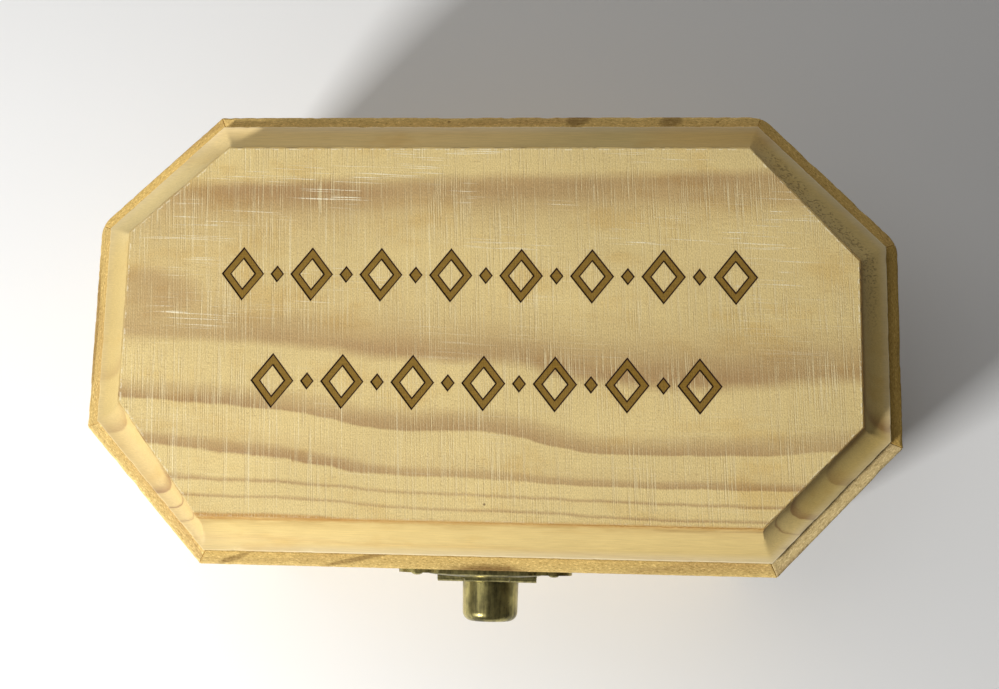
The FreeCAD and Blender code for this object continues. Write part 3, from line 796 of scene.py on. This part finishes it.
class Growing:
    """Builds a Geometry Nodes tree. Its methods return sockets."""

    def __init__(self, name, inputs):
        self.tree = bpy.data.node_groups.new(name, "GeometryNodeTree")
        self.add_socket("Geometry", "NodeSocketGeometry")
        self.ids = {label: self.add_socket(label, kind) for label, kind, _ in inputs}
        self.values = {label: value for label, _, value in inputs}
        self.add_socket("Geometry", "NodeSocketGeometry", "OUTPUT")
        self.start = self.tree.nodes.new("NodeGroupInput")
        self.end = self.tree.nodes.new("NodeGroupOutput")

    def add_socket(self, name, kind, way="INPUT"):
        """Adds a named input or output of the tree. Returns its identifier."""
        item = self.tree.interface.new_socket(name=name, in_out=way, socket_type=kind)
        return item.identifier

    def end_with(self, geometry, material):
        """Ends the tree: instances become real faces and get the material."""
        whole = self.node("GeometryNodeRealizeInstances", at0=geometry)
        coated = self.node("GeometryNodeSetMaterial", Geometry=whole.outputs[0],
                           Material=material)
        self.tree.links.new(coated.outputs[0], self.end.inputs[0])
        return self

    def __getitem__(self, label):
        return self.start.outputs[label]

    def node(self, kind, settings=None, **inputs):
        """Adds a node; inputs are socket names with underscores for spaces."""
        made = self.tree.nodes.new(kind)
        for key, value in (settings or {}).items():
            setattr(made, key, value)
        for key, value in inputs.items():
            by_number = key.startswith("at")
            socket = made.inputs[int(key[2:]) if by_number else key.replace("_", " ")]
            if isinstance(value, bpy.types.NodeSocket):
                self.tree.links.new(value, socket)
            else:
                socket.default_value = value
        return made

    def math(self, operation, a, b):
        made = self.node("ShaderNodeMath", {"operation": operation}, at0=a, at1=b)
        return made.outputs[0]

    def vector(self, x=0.0, y=0.0, z=0.0):
        made = self.node("ShaderNodeCombineXYZ", X=x, Y=y, Z=z)
        return made.outputs[0]

    def join(self, *parts):
        made = self.tree.nodes.new("GeometryNodeJoinGeometry")
        for part in parts:
            self.tree.links.new(part, made.inputs[0])
        return made.outputs[0]

    def apply(self, piece):
        """Runs the tree on an object and returns the result as a plain mesh."""
        modifier = piece.modifiers.new(self.tree.name, "NODES")
        modifier.node_group = self.tree
        for label, value in self.values.items():
            modifier[self.ids[label]] = value
        graph = bpy.context.evaluated_depsgraph_get()
        graph.update()
        mesh = bpy.data.meshes.new_from_object(piece.evaluated_get(graph))
        piece.modifiers.remove(modifier)
        return mesh


def engraving_tree(ornament, top, material):
    """Cuts two rows of hollow lozenges, with beads between them, into the panel's top."""
    inputs = [
        ("Half Width", "NodeSocketFloat", ornament.half_width),
        ("Half Height", "NodeSocketFloat", ornament.half_height),
        ("Hollow", "NodeSocketFloat", ornament.rim),
        ("Bead", "NodeSocketFloat", ornament.bead),
        ("Pitch", "NodeSocketFloat", ornament.pitch),
        ("Depth", "NodeSocketFloat", ornament.depth),
        ("Top", "NodeSocketFloat", top),
        ("Back Row", "NodeSocketFloat", ornament.back_y),
        ("Front Row", "NodeSocketFloat", -ornament.front_y),
        ("Back Count", "NodeSocketInt", ornament.back_count),
        ("Front Count", "NodeSocketInt", ornament.front_count),
        ("Wood", "NodeSocketMaterial", material),
    ]
    g = Growing("engraved_lozenges", inputs)
    tall = g.math("MULTIPLY", g["Depth"], 2.0)

    def lozenge(share, height):
        """An upright lozenge, a share of the large one."""
        block = g.node("GeometryNodeMeshCylinder", Vertices=4, Radius=1.0, Depth=height)
        size = g.vector(g.math("MULTIPLY", g["Half Width"], share),
                        g.math("MULTIPLY", g["Half Height"], share), 1.0)
        moved = g.node("GeometryNodeTransform", Geometry=block.outputs["Mesh"], Scale=size)
        return moved.outputs[0]

    hollow = g.node("GeometryNodeMeshBoolean", {"operation": "DIFFERENCE", "solver": "EXACT"},
                    at0=lozenge(1.0, tall), at1=lozenge(g["Hollow"], g.math("MULTIPLY", tall, 2.0)))
    bead = lozenge(g["Bead"], tall)
    rows = []
    for place, count in ((g["Back Row"], g["Back Count"]), (g["Front Row"], g["Front Count"])):
        spaces = g.math("SUBTRACT", count, 1.0)
        left = g.math("MULTIPLY", g.math("MULTIPLY", spaces, g["Pitch"]), -0.5)
        for cutter, number, start in (
                (hollow.outputs[0], count, left),
                (bead, spaces, g.math("ADD", left, g.math("MULTIPLY", g["Pitch"], 0.5)))):
            line = g.node("GeometryNodeMeshLine", {"mode": "OFFSET"}, Count=number,
                          Start_Location=g.vector(start, place, g["Top"]),
                          Offset=g.vector(g["Pitch"]))
            rows.append(g.node("GeometryNodeInstanceOnPoints", Points=line.outputs[0],
                               Instance=cutter).outputs[0])
    cutters = g.node("GeometryNodeRealizeInstances", at0=g.join(*rows))
    carved = g.node("GeometryNodeMeshBoolean", {"operation": "DIFFERENCE", "solver": "EXACT"},
                    at0=g["Geometry"], at1=cutters.outputs[0])
    return g.end_with(carved.outputs[0], g["Wood"])


# The boards

# Darkness across one growth ring
BOARD_RINGS = (
    (0.00, 0.05), (0.30, 0.10), (0.46, 0.45), (0.54, 0.80), (0.57, 0.05), (0.80, 0.10),
    (0.90, 0.55), (0.96, 0.75), (1.00, 0.05),
)
RING_WIDTH_MM = 9.0
LIP_TOP_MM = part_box("lid_board_front")[1].z / MM

# Noises of a board by name: patch size in millimetres, detail, roughness, seed
BOARD_NOISES = {
    "wander": ((34, 9, 9), 2.0, 0.5, 0.0),
    "tremble": ((5, 1.6, 1.6), 3.0, 0.6, 3.0),
    "patchy": ((30, 6, 6), 2.0, 0.5, 9.0),
    "tone": ((22, 7, 7), 3.0, 0.6, 5.0),
    "fibre": ((4.0, 0.18, 0.18), 4.0, 0.65, 2.0),
    "fuzz": ((0.60, 0.26, 0.26), 2.0, 0.7, 6.0),
}
STREAK = (0.19, 0.105, 0.030)
DARK_FUZZ_TINT = (0.45, 0.38, 0.26)
PALE_FUZZ_TINT = (1.40, 1.45, 1.60)
BOARD_SPOT = (0.24, 0.125, 0.035)
# Painted shade in the crevice beside the panel's foot
CREVICE_SHADE = (0.15, 0.085, 0.03)


def board_wood(scene, name, turn, board, foot):
    """Roughly sawn pine whose grain runs along a board that is turned by that angle."""
    pine = scene.box_pine
    s = Shading(name)
    straight = s.place()
    p = s.place(-turn)
    x, y, z = s.split(p)
    own = s.clouds(p, BOARD_NOISES, board.seed)
    fibre, fuzz = own["fibre"], own["fuzz"]

    wander = s.times(s.subtract(own["wander"], 0.5), 5.0)
    tremble = s.times(s.subtract(own["tremble"], 0.5), 0.8)
    depth = s.add(s.add(s.times(y, 0.75), s.times(z, 0.55)), s.times(x, board.slant))
    depth = s.add(s.add(depth, s.add(wander, tremble)), board.seed * 3.7)
    ring = s.rings(s.math("FRACT", s.times(depth, 1 / RING_WIDTH_MM)), 0.0, 1.0, BOARD_RINGS)
    ring = s.times(ring, s.ease(own["patchy"], 0.3, 0.7, 0.25, 0.9))
    wood = s.blend(s.times(ring, 0.75), triple(pine.board), triple(pine.late))
    wood = s.tint(1.0, wood, board.tint)
    wood = s.shade(wood, s.ease_straight(own["tone"], 0.2, 0.8, 0.90, 1.10))
    wood = s.shade(wood, s.ease_straight(fibre, 0.25, 0.75, 0.92, 1.08))
    for oval in board.streaks:
        streak = s.times(s.smudge(straight, *oval), s.ease(fibre, 0.35, 0.55, 0.55, 1.0))
        wood = s.blend(s.times(streak, 0.66), wood, STREAK)
    sawn = s.ease(z, LIP_TOP_MM - 1.4, LIP_TOP_MM - 0.2, 0.40, 1.0)
    wood = s.tint(s.times(sawn, s.ease(fuzz, 0.54, 0.68, 0.0, 0.52)), wood, DARK_FUZZ_TINT)
    wood = s.tint(s.times(sawn, s.ease(fuzz, 0.46, 0.32, 0.0, 0.90)), wood, PALE_FUZZ_TINT)
    spots = s.specks(p, (4.5, 3.0, 3.0), 0.10, 0.22, seed=board.seed + 8)
    wood = s.blend(s.times(spots, 0.55), wood, BOARD_SPOT)
    # Painted shade along the crevice where the lip meets the panel's foot
    beside_panel = s.ease(s.inside(*s.split(straight)[:2], foot), -0.34, -0.06)
    crevice_shade = s.times(beside_panel, s.ease(z, LIP_TOP_MM - 0.8, LIP_TOP_MM - 0.2))
    wood = s.blend(s.times(crevice_shade, 0.45), wood, CREVICE_SHADE)
    normal = s.relief(fibre, 0.05, s.relief(fuzz, 0.12))
    return s.finish(wood, s.ease_straight(fuzz, 0.2, 0.8, 0.58, 0.80), normal, 0.10)


class Board:
    """How one board differs from the others: a factor on its colour, its grain and its dark streaks."""

    def __init__(self, tint, seed, slant, streaks=()):
        self.tint = tint
        self.seed = seed
        self.slant = slant
        self.streaks = streaks


# Brown streaks on the boards: middle, half size in millimetres, and turn
FRONT_STREAKS = (
    ((-48.6, -44.1, 57.0), (3.8, 0.55, 3.0), math.radians(19.0)),
    ((-24.4, -43.8, 57.0), (7.0, 0.50, 3.0), math.radians(12.0)),
    # These last three darken the front lip above the clasp's knob
    ((0.8, -45.6, 57.0), (8.8, 1.7, 3.0), 0.0),
    ((0.8, -45.9, 57.0), (7.0, 1.4, 3.0), 0.0),
    ((1.4, -46.0, 57.0), (6.4, 1.5, 3.0), 0.0),
)
BACK_STREAKS = (
    ((17.3, 44.7, 57.0), (2.8, 1.4, 2.6), 0.3),
    ((35.9, 44.5, 57.0), (2.6, 1.5, 2.6), 0.3),
)
LEFT_STREAKS = (((-79.6, 1.0, 57.0), (0.45, 16.0, 3.0), 0.0),)
ALONG, ACROSS = -0.06, 0.10
# Each board's first value is a factor on its colour; the right board's makes it much darker than the
# rest
BOARDS = {
    "front": Board((0.97, 0.96, 0.86), 1.0, ALONG, FRONT_STREAKS),
    "front_right": Board((1.0, 1.06, 1.24), 3.3, ACROSS),
    "right": Board((0.70, 0.63, 0.42), 5.6, ALONG),
    "back_right": Board((0.90, 0.84, 0.66), 7.9, ACROSS),
    "back": Board((1.08, 1.03, 0.90), 10.2, ALONG, BACK_STREAKS),
    "back_left": Board((1.06, 1.0, 0.82), 12.5, ACROSS),
    "left": Board((0.94, 0.92, 0.84), 14.8, ALONG, LEFT_STREAKS),
    "front_left": Board((1.04, 1.04, 1.0), 17.1, ACROSS),
}
BASE_BOARD = Board((1.0, 1.0, 1.0), 23.0, 0.02)

# Whether the left and the right end of a lid board are rounded, as seen from outside
ROUNDED = {"right": (False, True), "back_right": (True, True), "back": (True, False),
           "back_left": (False, True), "left": (True, False)}
CORNER_REACH, CORNER_DEPTH = 2.6 * MM, 0.45 * MM
BEVEL = 0.55 * MM
WORN_BAND = 3.2 * MM
MITRE_GAP = 0.16 * MM
END_FADE = 1.6 * MM
BOARD_STEP = 0.55 * MM
BOARD_SHARP = 40.0
BOARD_CHIPS = ((3.1, 0.22, 0.42), (1.1, 0.1, 0.16))
FUZZ_SIZE, FUZZ_DEPTH = 0.7 * MM, 0.05


def board_plan(node):
    """Outer and inner ends of a mitred board, left to right as seen from outside, from the CAD."""
    points = [v.co for v in frame["nodes"][node].data.vertices]
    low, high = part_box(node)
    middle = sum((Vector(p.xy) for p in points), Vector((0.0, 0.0))) / len(points)
    upright = [face for face in frame["nodes"][node].data.polygons
               if abs(face.normal.z) < 0.01 and face.normal.xy.dot(middle) > 0]
    out = max(upright, key=lambda face: face.area).normal.xy.normalized()
    along = Vector((-out.y, out.x))
    depths = [Vector(p.xy).dot(out) for p in points]
    ends = []
    for depth in (max(depths), min(depths)):
        row = [Vector(p.xy).dot(along) for p, d in zip(points, depths) if abs(d - depth) < NEAR]
        ends.append([out * depth + along * u for u in (min(row), max(row))])
    return ends, out, low.z, high.z


def board_section(thick, tall):
    """A lid board's section, round from its outer foot: depth, height and how worn it is there."""
    section = []

    def run(start, end, count, wear):
        """Adds points of the section from start to just before end."""
        for i in range(count):
            section.append((*Vector(start).lerp(Vector(end), i / count), wear))

    run((0.0, 0.0), (0.0, tall - BEVEL), 24, 0.25)
    for i in range(5):
        turn = math.radians(90.0 * i / 4)
        section.append((BEVEL * (1 - math.cos(turn)), tall - BEVEL * (1 - math.sin(turn)), 1.0))
    run((BEVEL + 0.1 * MM, tall), (WORN_BAND, tall), 7, 0.45)
    run((WORN_BAND, tall), (thick, tall), 4, 0.0)
    run((thick, tall), (thick, 0.0), 6, 0.0)
    run((thick, 0.0), (0.0, 0.0), 6, 0.0)
    return section


def board_mesh(node):
    """A lid board whose sawn faces are a little rough and whose outer edges are chipped."""
    (outer, inner), out, foot, top = board_plan(node)
    thick = (outer[0] - inner[0]).dot(out)
    tall = top - foot
    section = board_section(thick, tall)
    length_out = (outer[1] - outer[0]).length
    rounded = ROUNDED.get(node.removeprefix("lid_board_"), (False, False))
    count = max(20, int(length_out / BOARD_STEP))
    shares = [i / count for i in range(count + 1)]
    shares.insert(1, MITRE_GAP / length_out)
    shares.insert(-1, 1.0 - MITRE_GAP / length_out)
    rings = []
    for t in shares:
        end_gap = MITRE_GAP if t in (0.0, 1.0) else 0.0
        fade = min(1.0, min(t, 1.0 - t) * length_out / END_FADE)
        worn = 0.0
        for share, is_round in zip((t, 1.0 - t), rounded):
            near = max(0.0, 1.0 - share * length_out / CORNER_REACH)
            worn += CORNER_DEPTH * near ** 2 * is_round
        ring = []
        for depth, height, wear in section:
            pulled = depth + worn * max(0.0, 1.0 - depth / WORN_BAND)
            a, b = (end.lerp(other, pulled / thick) for end, other in zip(outer, inner))
            p = a.lerp(b, t)
            z = foot + height
            place = (p.x, p.y, z)
            bite = chips(place, BOARD_CHIPS) * wear * fade * MM
            rough = FUZZ_DEPTH * abs(noise.noise(Vector(place) / FUZZ_SIZE))
            rough *= min(1.0, 2 * wear) * fade * MM
            gap = end_gap if wear > 0.0 else 0.0
            if height >= tall - 1e-9:
                z -= bite * 0.6 + rough + gap
            elif height > tall - BEVEL:
                z -= bite * 0.7 + gap
                p = p - out * ((bite + rough) * 0.7 + gap)
            else:
                p = p - out * (bite * 0.6 + rough + gap)
            ring.append((p.x, p.y, z))
        rings.append(ring)
    return closed_mesh(node.replace("board", "rail"), rings, BOARD_SHARP)


# The nails


TO_BACK, TO_FRONT = (0, 1, 0), (0, -1, 0)
NAIL_SHARP = 40.0
NAIL_FACES_MIN = 100


def nail_places(brass):
    """Places of the nails' heads and the way that they face, for each body."""
    hinge_z, clasp_z = (joint["pos_m"][2] for joint in frame["joints"])
    catch_z = sum(corner.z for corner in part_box("catch_plate")) / 2
    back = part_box("lid_board_back")[1].y + brass.sheet
    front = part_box("lid_board_front")[0].y - brass.sheet
    places = {"lid": [], "box": []}
    for hinge in ("left", "right"):
        middle = sum(corner.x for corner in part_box(f"hinge_{hinge}_lid_leaf")) / 2
        for side in (-1, 1):
            x = middle + side * brass.hinge_side
            places["lid"].append(((x, back, hinge_z + brass.hinge_rise), TO_BACK))
            places["box"].append(((x, back, hinge_z - brass.hinge_rise), TO_BACK))
    for side in (-1, 1):
        place = (side * brass.clasp_side, front, clasp_z + brass.clasp_rise)
        places["lid"].append((place, TO_FRONT))
        for rise in (-1, 1):
            place = (side * brass.catch_side, front, catch_z + rise * brass.catch_rise)
            places["box"].append((place, TO_FRONT))
    return places


HEAD_SEGMENTS, HEAD_RINGS, SHANK_SIDES = 24, 12, 16
HEAD_UNDERSIDE = -0.02
SMALLEST_NAIL, LARGEST_NAIL, NAIL_SEED = 0.94, 1.04, 7


def nail_tree(brass, material):
    """A round-headed nail on each point, turned the way that the point faces."""
    inputs = [
        ("Head", "NodeSocketFloat", brass.head),
        ("Head Rise", "NodeSocketFloat", brass.head_rise),
        ("Shank", "NodeSocketFloat", brass.shank),
        ("Shank Length", "NodeSocketFloat", brass.shank_length),
        ("Seed", "NodeSocketInt", NAIL_SEED),
        ("Brass", "NodeSocketMaterial", material),
    ]
    g = Growing("driven_nails", inputs)
    ball = g.node("GeometryNodeMeshUVSphere", Segments=HEAD_SEGMENTS, Rings=HEAD_RINGS,
                  Radius=0.5)
    spot = g.node("GeometryNodeInputPosition")
    parts = g.node("ShaderNodeSeparateXYZ", at0=spot.outputs[0])
    flat = g.vector(parts.outputs[0], parts.outputs[1],
                    g.math("MAXIMUM", parts.outputs[2], HEAD_UNDERSIDE))
    dome = g.node("GeometryNodeSetPosition", Geometry=ball.outputs["Mesh"], Position=flat)
    head = g.node("GeometryNodeTransform", Geometry=dome.outputs[0],
                  Scale=g.vector(g["Head"], g["Head"], g.math("MULTIPLY", g["Head Rise"], 2.0)))
    pin = g.node("GeometryNodeMeshCylinder", Vertices=SHANK_SIDES,
                 Radius=g.math("MULTIPLY", g["Shank"], 0.5), Depth=g["Shank Length"])
    sunk = g.node("GeometryNodeTransform", Geometry=pin.outputs["Mesh"],
                  Translation=g.vector(0.0, 0.0, g.math("MULTIPLY", g["Shank Length"], -0.5)))
    nail = g.join(head.outputs[0], sunk.outputs[0])
    facing = g.node("GeometryNodeInputNamedAttribute", {"data_type": "FLOAT_VECTOR"}, Name="facing")
    turned = g.node("FunctionNodeAlignRotationToVector", {"axis": "Z"},
                    Vector=facing.outputs["Attribute"])
    size = g.node("FunctionNodeRandomValue", {"data_type": "FLOAT"},
                  at2=SMALLEST_NAIL, at3=LARGEST_NAIL)
    g.tree.links.new(g["Seed"], size.inputs["Seed"])
    placed = g.node("GeometryNodeInstanceOnPoints", Points=g["Geometry"], Instance=nail,
                    Rotation=turned.outputs[0], Scale=size.outputs[1])
    return g.end_with(placed.outputs[0], g["Brass"])


# The brass

# Noises of the brass by name: patch size in millimetres, detail, roughness, seed
BRASS_NOISES = {
    "patches": ((4.0, 7.0, 5.0), 5.0, 0.62, 1.0),
    "streak": ((0.7, 9.0, 0.7), 3.0, 0.6, 6.0),
    "fine": ((0.16, 3.0, 0.16), 3.0, 0.6, 9.0),
    "pits": ((0.5, 0.5, 0.5), 3.0, 0.7, 12.0),
}
PIT = (0.045, 0.038, 0.016)


def antique_brass(scene, name):
    """Darkened brass, rubbed bright in streaks."""
    brass = scene.box_brass
    s = Shading(name)
    own = s.clouds(s.place(), BRASS_NOISES)
    wear = s.add(s.times(own["patches"], 0.72), s.times(own["streak"], 0.28))
    metal = s.blend(s.ease(wear, 0.37, 0.66), triple(brass.dark), triple(brass.bright))
    metal = s.shade(metal, s.ease_straight(own["fine"], 0.2, 0.8, 0.86, 1.14))
    metal = s.blend(s.times(s.ease(own["pits"], 0.64, 0.74), 0.65), metal, PIT)
    s.surface.inputs["Metallic"].default_value = 1.0
    rough = s.ease_straight(own["patches"], 0.25, 0.75, 0.38, 0.24)
    normal = s.relief(own["streak"], 0.02, s.relief(own["fine"], 0.008))
    return s.finish(metal, rough, normal, 0.5)


def dress(node, material):
    """Gives a CAD node one material."""
    mesh = frame["nodes"][node].data
    mesh.materials.clear()
    mesh.materials.append(material)


# Operators


class BOX_OT_panel(bpy.types.Operator):
    """Finish the lid's panel: grain, coved edges and the engraved rows"""

    bl_idname = "box.panel"
    bl_label = "Lid panel"

    def execute(self, context):
        scene = context.scene
        material = panel_wood(scene, *panel_outlines())
        mesh = panel_mesh(scene.box_pine)
        mesh.materials.append(material)
        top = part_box("lid_panel")[1].z
        blank = bpy.data.objects.new("lid_panel_blank", mesh)
        scene.collection.objects.link(blank)
        carved = engraving_tree(scene.box_ornament, top, material).apply(blank)
        bpy.data.objects.remove(blank)
        carved.name = "lid_panel_carved"
        if len(carved.polygons) < CARVED_FACES_MIN:
            raise RuntimeError("the engraving left no panel")
        carved.set_sharp_from_angle(angle=math.radians(PANEL_SHARP))
        dress("lid_panel", material)
        add_piece("lid_panel_carved", carved, "lid", ["lid_panel"])
        return {"FINISHED"}


class BOX_OT_boards(bpy.types.Operator):
    """Give each wall board of the body and the lid its own piece of pine"""

    bl_idname = "box.boards"
    bl_label = "Boards"

    def execute(self, context):
        foot, _ = panel_outlines()
        for wall in WALLS:
            out = board_plan(f"lid_board_{wall}")[1]
            turn = math.atan2(out.x, -out.y)
            material = board_wood(context.scene, f"board_wood_{wall}", turn, BOARDS[wall], foot)
            dress(f"lid_board_{wall}", material)
            dress(f"body_board_{wall}", material)
            mesh = board_mesh(f"lid_board_{wall}")
            mesh.materials.append(material)
            add_piece(f"lid_rail_{wall}", mesh, "lid", [f"lid_board_{wall}"])
        dress("base_panel", board_wood(context.scene, "board_wood_base", 0.0, BASE_BOARD, foot))
        return {"FINISHED"}


class BOX_OT_metalwork(bpy.types.Operator):
    """Give the hinges, the clasp and the catch their old brass"""

    bl_idname = "box.metalwork"
    bl_label = "Metalwork"

    def execute(self, context):
        material = antique_brass(context.scene, "antique_brass")
        for node in METAL_NODES:
            dress(node, material)
        return {"FINISHED"}


class BOX_OT_nails(bpy.types.Operator):
    """Drive the round-headed nails through the hinges, the clasp and the catch"""

    bl_idname = "box.nails"
    bl_label = "Nails"

    def execute(self, context):
        brass = context.scene.box_brass
        material = antique_brass(context.scene, "nail_brass")
        tree = nail_tree(brass, material)
        for body, places in nail_places(brass).items():
            points = bpy.data.meshes.new(f"nail_points_{body}")
            points.from_pydata([place for place, _ in places], [], [])
            facing = points.attributes.new("facing", "FLOAT_VECTOR", "POINT")
            for item, (_, way) in zip(facing.data, places):
                item.vector = way
            holder = bpy.data.objects.new(f"nail_points_{body}", points)
            context.scene.collection.objects.link(holder)
            mesh = tree.apply(holder)
            bpy.data.objects.remove(holder)
            if len(mesh.polygons) < NAIL_FACES_MIN:
                raise RuntimeError(f"no nails were made for the {body}")
            soften(mesh, NAIL_SHARP)
            add_piece(f"nails_{body}", mesh, body)
        return {"FINISHED"}


FLOOR_REACH = 4.0
LAMP_AIM = (0.0, 0.0, 0.05)
SKY_COLOUR = (1.0, 0.97, 0.94, 1.0)
CLIP_START, CLIP_END = 0.01, 20.0


def floor(studio):
    """A wide sheet of pale paper."""
    s = Shading("studio_floor")
    mottle = s.cloud(s.place(), (60.0, 60.0, 60.0), 3.0, 0.5, 2.0)
    paper = s.shade(triple(studio.floor), s.ease_straight(mottle, 0.2, 0.8, 0.99, 1.01))
    mesh = bpy.data.meshes.new("studio_floor")
    shape = bmesh.new()
    bmesh.ops.create_grid(shape, x_segments=1, y_segments=1, size=FLOOR_REACH)
    shape.to_mesh(mesh)
    shape.free()
    mesh.materials.append(s.finish(paper, 0.75, None, 0.2))
    sheet = bpy.data.objects.new("studio_floor", mesh)
    bpy.context.scene.collection.objects.link(sheet)


def lamp(name, place, size, power):
    """A square area lamp that points at the box and isn't seen itself."""
    data = bpy.data.lights.new(name, "AREA")
    data.shape = "SQUARE"
    data.size = size
    data.energy = power
    obj = bpy.data.objects.new(name, data)
    obj.location = place
    obj.rotation_euler = (Vector(LAMP_AIM) - Vector(place)).to_track_quat("-Z", "Y").to_euler()
    obj.visible_camera = False
    bpy.context.scene.collection.objects.link(obj)


def sky(studio):
    """Faint even light from all round."""
    world = bpy.data.worlds.new("studio_world")
    world.use_nodes = True
    tree = world.node_tree
    tree.nodes.clear()
    light = tree.nodes.new("ShaderNodeBackground")
    light.inputs["Color"].default_value = SKY_COLOUR
    light.inputs["Strength"].default_value = studio.sky
    output = tree.nodes.new("ShaderNodeOutputWorld")
    tree.links.new(light.outputs[0], output.inputs["Surface"])
    bpy.context.scene.world = world


def camera(studio):
    """The camera over the box."""
    data = bpy.data.cameras.new("camera")
    data.sensor_fit = "HORIZONTAL"
    data.sensor_width = SENSOR_MM
    data.lens = studio.camera_lens
    data.clip_start, data.clip_end = CLIP_START, CLIP_END
    obj = bpy.data.objects.new("camera", data)
    obj.location = studio.camera_place
    obj.rotation_euler = Euler(studio.camera_turn, "XYZ")
    bpy.context.scene.collection.objects.link(obj)
    bpy.context.scene.camera = obj


class BOX_OT_stage(bpy.types.Operator):
    """Make the pale floor, the lamps, the sky and the camera"""

    bl_idname = "box.stage"
    bl_label = "Stage"

    def execute(self, context):
        studio = context.scene.box_studio
        floor(studio)
        lamp("key_lamp", studio.key_place, studio.key_size, studio.key_power)
        lamp("fill_lamp", studio.fill_place, studio.fill_size, studio.fill_power)
        sky(studio)
        camera(studio)
        context.scene.view_settings.view_transform = "Standard"
        return {"FINISHED"}


class BOX_PT_sidebar(bpy.types.Panel):
    """Lists the box's pieces and their settings"""

    bl_idname = "BOX_PT_sidebar"
    bl_label = "Keepsake Box"
    bl_space_type = "VIEW_3D"
    bl_region_type = "UI"
    bl_category = "Keepsake Box"

    def draw(self, context):
        for operator in OPERATORS:
            self.layout.operator(operator.bl_idname)
        for name, group in SETTINGS.items():
            box = self.layout.box()
            settings = getattr(context.scene, name)
            for key in group.__annotations__:
                box.prop(settings, key)


OPERATORS = (BOX_OT_panel, BOX_OT_boards, BOX_OT_metalwork, BOX_OT_nails, BOX_OT_stage)
CLASSES = (*SETTINGS.values(), *OPERATORS, BOX_PT_sidebar)


def register():
    for cls in CLASSES:
        bpy.utils.register_class(cls)
    for name, group in SETTINGS.items():
        setattr(bpy.types.Scene, name, PointerProperty(type=group))


def unregister():
    for name in SETTINGS:
        delattr(bpy.types.Scene, name)
    for cls in reversed(CLASSES):
        bpy.utils.unregister_class(cls)


def main():
    """Makes everything in order."""
    register()
    bpy.ops.box.panel()
    bpy.ops.box.boards()
    bpy.ops.box.metalwork()
    bpy.ops.box.nails()
    bpy.ops.box.stage()


if __name__ == "__main__":
    main()
